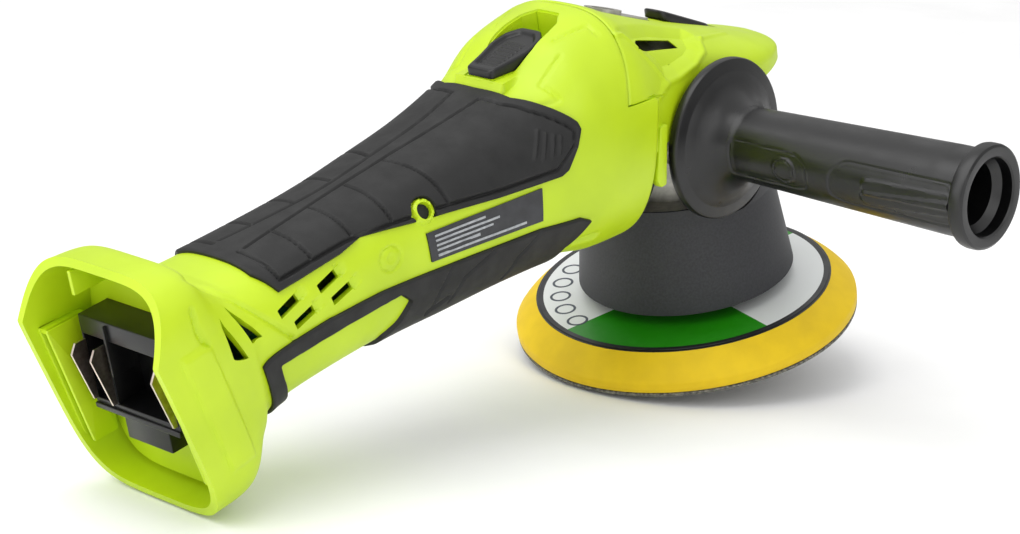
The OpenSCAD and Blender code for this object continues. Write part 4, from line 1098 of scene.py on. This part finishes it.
def bulkhead():
    """A wall across the foot: rings from the block's outline out to the inner skin, 2 mm thick."""
    t = np.linspace(0, 1, 14)[:, None, None]
    angles = np.linspace(-90, 270, 181)
    a = np.where(angles > 90, 180 - angles, angles)
    side = np.where(angles > 90, -1.0, 1.0)
    edge = skin(np.full(len(a), 1.75), a, -SHELL_WALL + 0.4)
    edge[:, 1] *= side
    c, s = np.cos(np.radians(angles)), np.sin(np.radians(angles))
    grow = 1 / np.maximum(np.abs(c) / 19.6, np.abs(s) / 15.4)
    hole = np.stack([np.full(len(a), BULKHEAD_X), grow * c, 94.5 + grow * s], -1)
    edge[:, 0] = BULKHEAD_X
    front = hole + (edge - hole) * t
    back = front + np.array([2.0, 0, 0])
    shell = np.concatenate([front, back[::-1], front[:1]])
    return shell.reshape(-1, 3), cells(*shell.shape[:2]).reshape(-1, 4)


make_piece("foot_bulkhead", *bulkhead(), "housing", "lime_abs", lime_abs)


def box_piece(x, y, z, r=0.4):
    """A bevelled block between the pairs of limits in x, y and z."""
    return prism(box_outline(x[0], x[1], z[0], z[1], r), bevelled(y[0], y[1], r), sideways)


# Each guide is two parallel plates whose ends follow the slanting rim, with tabs between them.
guides = []
plate_side = rounded(np.array([[-255.5, 106], [-247.5, 64], [-238, 64], [-238, 106]]), 0.8)
for sign in (1, -1):
    for y0, y1 in ((25.6, 27.0), (29.4, 31.0)):
        span = sorted((sign * y0, sign * y1))
        guides.append(prism(plate_side, bevelled(span[0], span[1], 0.4), sideways))
    span = sorted((sign * 26, sign * 30.6))
    for z0, x0 in ((104.4, -255), (91, -249), (79, -246)):
        guides.append(box_piece((x0, -240), span, (z0, z0 + 1.6), 0.3))
guides.append(box_piece((-251, -236), (13.2, 14.8), (119, 127), 0.3))
make_piece("battery_guides", *gathered(guides), "housing", "lime_abs", lime_abs)

# The block is a tray stood on edge: a frame with two deep chambers between the contact blades.
block = [box_piece((-247.5, -233.6), (-19.7, 19.7), (103.5, 110), 0.5),
         box_piece((-247.5, -233.6), (-19.7, 19.7), (79, 81.8), 0.5),
         box_piece((-248.3, -246.0), (-19.7, 19.7), (78.4, 80.2), 0.4),
         box_piece((-247.5, -233.6), (18.9, 19.7), (80, 108), 0.3),
         box_piece((-247.5, -233.6), (-19.7, -18.9), (80, 108), 0.3),
         box_piece((-247.2, -233.6), (9.1, 9.9), (80, 108), 0.3),
         box_piece((-248.6, -240.0), (6.6, 7.4), (92, 109), 0.3),
         box_piece((-236.6, -233.6), (-19.7, 19.7), (79, 110), 0.3),
         box_piece((-233.8, -230.5), (-24, 24), (68, 112), 0.4),
         box_piece((-245.5, -233.6), (-10.4, 10.4), (69, 79.5), 0.5)]
make_piece("terminal_housing", *gathered(block), "housing", "black_nylon", switch_acetal,
           ["terminal_block"])

# %% [markdown]
# ## Side handle
# The guard and grip are one black moulding. The guard is a flat rim that runs into a shallow cone,
# and the grip has two sunk panels on each side with fine outlines, long ribs and a plain round
# badge, and ends in an open ring.

# %% Handle surfaces
SEAT_Y = -32.0


def handle_place(u, v, h):
    """Turns (u, v) about the handle's axis, with h the distance out from the seat."""
    return np.stack([HANDLE_X + u, SEAT_Y - h, HANDLE_Z + v], -1)


guard_profile = [(4.3, 1.0), (4.3, 0.25), (12, 0.25), (27.2, 0.25), (27.9, 0.5), (28.2, 1.1),
                 (28.2, 3.0), (27.9, 3.6), (27.2, 4.0), (24.2, 4.1), (23.6, 4.5), (21, 5.6),
                 (18, 7.2), (15.5, 9.4), (14.0, 11.6), (13.2, 13.4), (12.2, 13.6), (10.4, 13.6),
                 (10.4, 30), (4.3, 30), (4.3, 1.0)]
make_piece("handle_guard", *turned(guard_profile, handle_place), "side_handle", "black_nylon",
           handle_nylon, ["handle_core"])

PANEL_1 = [(14.5, 148), (43.3, 152.6), (47.2, 169.4), (46.5, 199.1), (42.5, 206), (14.5, 210)]
PANEL_2 = [(61.9, 145.6), (105, 144.5), (105, 203), (63, 208), (56.6, 199), (56.8, 168)]
HANDLE_RIBS = [[(72.4, 172.8), (103.5, 168)], [(71.9, 189.3), (103.5, 178.5)]]
TUBE_R = 13.8


def arc_mm(path):
    """(distance, angle) pairs with the angle turned into mm round the tube."""
    path = np.asarray(path, float)
    return np.stack([path[..., 0], np.radians(path[..., 1] - 175) * TUBE_R], -1)


def sleeve():
    """Radius over (distance, angle): tube, sunk panels, ribs and badge, then ring and hollow."""
    count = 181
    theta = np.linspace(-5, 355, count)
    D, T = np.meshgrid(np.linspace(13.4, 104.6, 170), theta, indexing="ij")
    r = 12.8 + (D - 13) / 84 * 2.0
    r = np.minimum(r, 14.8) + 0.5 * smooth((16 - D) / 3)
    for turn in (0, 180):
        local = (T + turn + 5) % 360 - 5
        flat = arc_mm(np.stack([D, local], -1))
        for outline in (PANEL_1, PANEL_2):
            path = rounded(arc_mm(outline), 2.5)
            gap = to_line(flat, ring(path))[0]
            r = r - np.where(inside(flat, path), 0.45 * smooth(gap / 1.2), 0)
            r = r - 0.45 * bump(gap, 0.8)
        for rib in HANDLE_RIBS:
            gap = to_line(flat, arc_mm(rib))[0]
            r = r + 0.7 * smooth((3.0 - gap) / 1.0)
        badge = np.linalg.norm(flat - arc_mm([(37.6, 180.0)]), axis=-1)
        r = r + 0.45 * smooth((5.2 - badge) / 0.7) - 0.3 * bump(badge - 3.9, 0.6)
    a = np.radians(T)
    outer = handle_place(r * np.cos(a), r * np.sin(a), D)
    rest = [(14.9, 105.2), (16.6, 105.7), (17.2, 106.3), (17.4, 107.2), (17.4, 109.6),
            (17.1, 110.5), (16.3, 111), (14.6, 111), (13.4, 110.8), (12.9, 110.2), (12.8, 106.5),
            (11.4, 104.8), (10.6, 104.0), (10.5, 60), (10.5, 13.4)]
    t = np.radians(theta)
    more = [handle_place(q * np.cos(t), q * np.sin(t), np.full(count, h)) for q, h in rest]
    grid = np.concatenate([outer, np.stack(more), outer[:1]])
    return grid.reshape(-1, 3), cells(*grid.shape[:2]).reshape(-1, 4)


make_piece("handle_grip_sleeve", *sleeve(), "side_handle", "black_nylon", handle_nylon,
           ["handle_sleeve"])

# %% [markdown]
# ## Foam pad, hook face and printed label
# The pad is polyurethane foam cast in a mould, so its bevelled side bulges a little and its corners
# are soft. It is too stiff to sag, so it is a turned profile rather than a cloth simulation. The
# label is a printed film in plain green and white sectors with a black ring round it.

# %% Pad
PAD_R = 62.5
PAD_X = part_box("foam_pad")[0][0] * 1000 + PAD_R


def pad_place(u, v, h):
    """Profile about the pad's own axis, which stands off the spindle by the orbit's radius."""
    return np.stack([PAD_X + u, v, h], -1)


t = np.linspace(0, 1, 12)
side_r = 62.3 - 8.1 * t + 0.7 * np.sin(np.pi * t)
side_z = 5.6 + 7.6 * t
pad_profile = [(0, 1.65), (30, 1.65), (61.4, 1.65), (62.1, 1.8), (62.45, 2.3), (62.5, 3.2),
               (62.5, 4.4), (62.45, 5.1)] + list(zip(side_r, side_z)) \
    + [(53.9, 13.5), (53.4, 13.68), (52.6, 13.7), (49.5, 13.7), (49.5, 10.1), (0, 10.1)]
pad = make_piece("foam_sanding_pad", *turned(pad_profile, pad_place, 160), "pad", "yellow_foam",
                 foam_yellow, ["foam_pad"])

hook_profile = [(0, 0), (61.2, 0), (62.0, 0.25), (62.3, 0.8), (62.2, 1.35), (61.6, 1.6), (0, 1.6)]
make_piece("hook_disc", *turned(hook_profile, pad_place, 160), "pad", "hook_nylon", hook_tape,
           ["hook_face"])

# Printed film: colour by angle round the pad's axis, green and white in turn, with a black ring.
pad_print, tree, shader, place = new_material("printed_pad_film", 0.4, IOR=1.5)
centre = node(tree, "ShaderNodeVectorMath", {"operation": "ADD"}, {1: (-PAD_X / 1000, 0, 0)},
              {0: place})
xyz = node(tree, "ShaderNodeSeparateXYZ", {}, {}, {"Vector": centre.outputs["Vector"]})
turn = node(tree, "ShaderNodeMath", {"operation": "ARCTAN2"}, {},
            {0: xyz.outputs["Y"], 1: xyz.outputs["X"]})
share = node(tree, "ShaderNodeMapRange", {}, {"From Min": -math.pi, "From Max": math.pi},
             {"Value": turn.outputs["Value"]})
sectors = node(tree, "ShaderNodeValToRGB", {}, {}, {"Fac": share.outputs["Result"]})
ramp = sectors.color_ramp
ramp.interpolation = "CONSTANT"
GREEN, WHITE = linear("#1F8A06"), linear("#E2E5E4")
ramp.elements[0].color = GREEN
ramp.elements[1].position, ramp.elements[1].color = 74 / 360, WHITE
for degrees, colour in ((165, GREEN), (254, WHITE), (345, GREEN)):
    added = ramp.elements.new(degrees / 360)
    added.color = colour
radius = node(tree, "ShaderNodeVectorMath", {"operation": "LENGTH"}, {},
              {0: centre.outputs["Vector"]})
edge = node(tree, "ShaderNodeMath", {"operation": "GREATER_THAN"}, {1: 0.0532},
            {0: radius.outputs["Value"]})
ink = node(tree, "ShaderNodeMix", {"data_type": "RGBA"}, {"B": linear("#17181A")},
           {"Factor": edge.outputs["Value"], "A": sectors.outputs["Color"]})
tree.links.new(ink.outputs["Result"], shader.inputs["Base Color"])
varied_roughness(tree, shader, place, 0.32, 0.48, 8)

label_profile = [(20, 13.72), (53.0, 13.72), (53.3, 13.85), (53.1, 14.0), (20, 14.0), (20, 13.72)]
make_piece("printed_pad_label", *turned(label_profile, pad_place, 160), "pad", "printed_label",
           pad_print, ["pad_label"])

# Five plain rings are printed in one sector.
marks = []
for k in range(5):
    a = math.radians(-122 + 14 * k + 228)
    c = (PAD_X + 45 * math.cos(a), 45 * math.sin(a))

    def at_mark(u, v, h, c=c):
        return np.stack([c[0] + u, c[1] + v, h], -1)

    marks.append(turned([(3.0, 14.0), (3.9, 14.0), (3.9, 14.08), (3.0, 14.08), (3.0, 14.0)],
                        at_mark, 32))
mark_ink = finish("printed_dark_ink", 0.45, "#3A424C", "#454D58", 3, ior=1.5)
make_piece("label_marks", *gathered(marks), "pad", "printed_label", mark_ink)

# %% [markdown]
# ## Finishes for the CAD pieces
# Every piece that keeps its CAD mesh gets a finish here, by the slot that the record gives it.

# %% Materials by slot
by_slot = {
    "lime_abs": lime_abs, "soft_rubber": grip_rubber, "black_nylon": handle_nylon,
    "skirt_plastic": skirt_nylon, "cast_aluminium": cast_aluminium, "bright_steel": ground_steel,
    "dark_steel": gear_steel, "zinc_plate": zinc_steel, "copper_wire": winding_copper,
    "contact_nickel": contact_nickel, "carbon": pressed_carbon, "board_green": solder_mask,
    "red_lead": red_pvc, "black_lead": black_pvc, "yellow_foam": foam_yellow,
    "hook_nylon": hook_tape, "printed_label": pad_print, "plate_film": plate_film}
dressed = 0
for part in frame["record"]["subparts"]:
    obj = bpy.data.objects[part["node"]]
    obj.data.materials.clear()
    obj.data.materials.append(by_slot[part["material_slot"]])
    dressed += 1
print("CAD nodes dressed:", dressed)

# %% [markdown]
# ## Floor, light and camera
# The tool rests tipped on its foot and the pad's rear edge, so the floor plane is tilted instead of
# the tool. Three large soft lights and a wide dim sky give the pale studio look.

# %% Stage
TIP = math.radians(15.4)
floor_mesh = bpy.data.meshes.new("studio_floor")
FLOOR_HALF = 30.0
c, s = math.cos(TIP), math.sin(TIP)
anchor = Vector((-0.065, 0, -0.0006))
along_x = Vector((c, 0, -s))
corners = [anchor + FLOOR_HALF * (along_x * x + Vector((0, y, 0))) for x, y in
           ((-1, -1), (1, -1), (1, 1), (-1, 1))]
floor_mesh.from_pydata(corners, [], [(0, 1, 2, 3)])
floor = bpy.data.objects.new("studio_floor", floor_mesh)
bpy.context.scene.collection.objects.link(floor)
floor_paper, tree, shader, place = new_material("white_backdrop_paper", 0.9)
shader.inputs["Specular IOR Level"].default_value = 0.1
mottled(tree, shader, place, "#FAFAFA", "#FFFFFF", 60)
floor_mesh.materials.append(floor_paper)

up = Vector((s, 0, c))
scene = bpy.context.scene
world = bpy.data.worlds.new("studio_air")
world.use_nodes = True
air = world.node_tree.nodes["Background"]
air.inputs["Color"].default_value = (1, 1, 1, 1)
air.inputs["Strength"].default_value = 0.5
scene.world = world
scene.view_settings.view_transform = "Standard"


def area_light(name, spot, target, size, watts):
    """A square area light at a spot, aimed at a target."""
    light = bpy.data.lights.new(name, "AREA")
    light.size = size
    light.energy = watts
    obj = bpy.data.objects.new(name, light)
    obj.matrix_world = Matrix.Translation(spot) @ (Vector(target) - Vector(spot)) \
        .to_track_quat("-Z", "Y").to_matrix().to_4x4()
    scene.collection.objects.link(obj)


middle = (-0.08, 0, 0.07)
area_light("soft_top", (-0.25, 0.15, 1.25), middle, 1.1, 7.0)
area_light("soft_left", (-1.0, 0.35, 0.75), middle, 0.9, 4.2)
area_light("soft_front", (-0.35, -1.3, 0.7), middle, 1.0, 4.4)

sky = bpy.data.lights.new("wide_sky", "SUN")
sky.angle = math.radians(120)
sky.energy = 1.15
sky_lamp = bpy.data.objects.new("wide_sky", sky)
sky_lamp.matrix_world = up.to_track_quat("Z", "Y").to_matrix().to_4x4()
scene.collection.objects.link(sky_lamp)

camera_data = bpy.data.cameras.new("camera")
camera_data.sensor_width = 36
camera_data.lens = 2683.247 / 1020 * 36
camera_data.clip_end = 100
camera = bpy.data.objects.new("camera", camera_data)
R = ((0.67228164, 0.40285375, -0.62108474), (-0.72778244, 0.20605635, -0.6541204),
     (-0.1355364, 0.8917677, 0.43171779))
camera.matrix_world = Matrix.Translation((-0.651504, -0.594015, 0.449815)) @ Matrix(R).to_4x4()
scene.collection.objects.link(camera)
scene.camera = camera
print("camera lens mm:", round(camera_data.lens, 1))
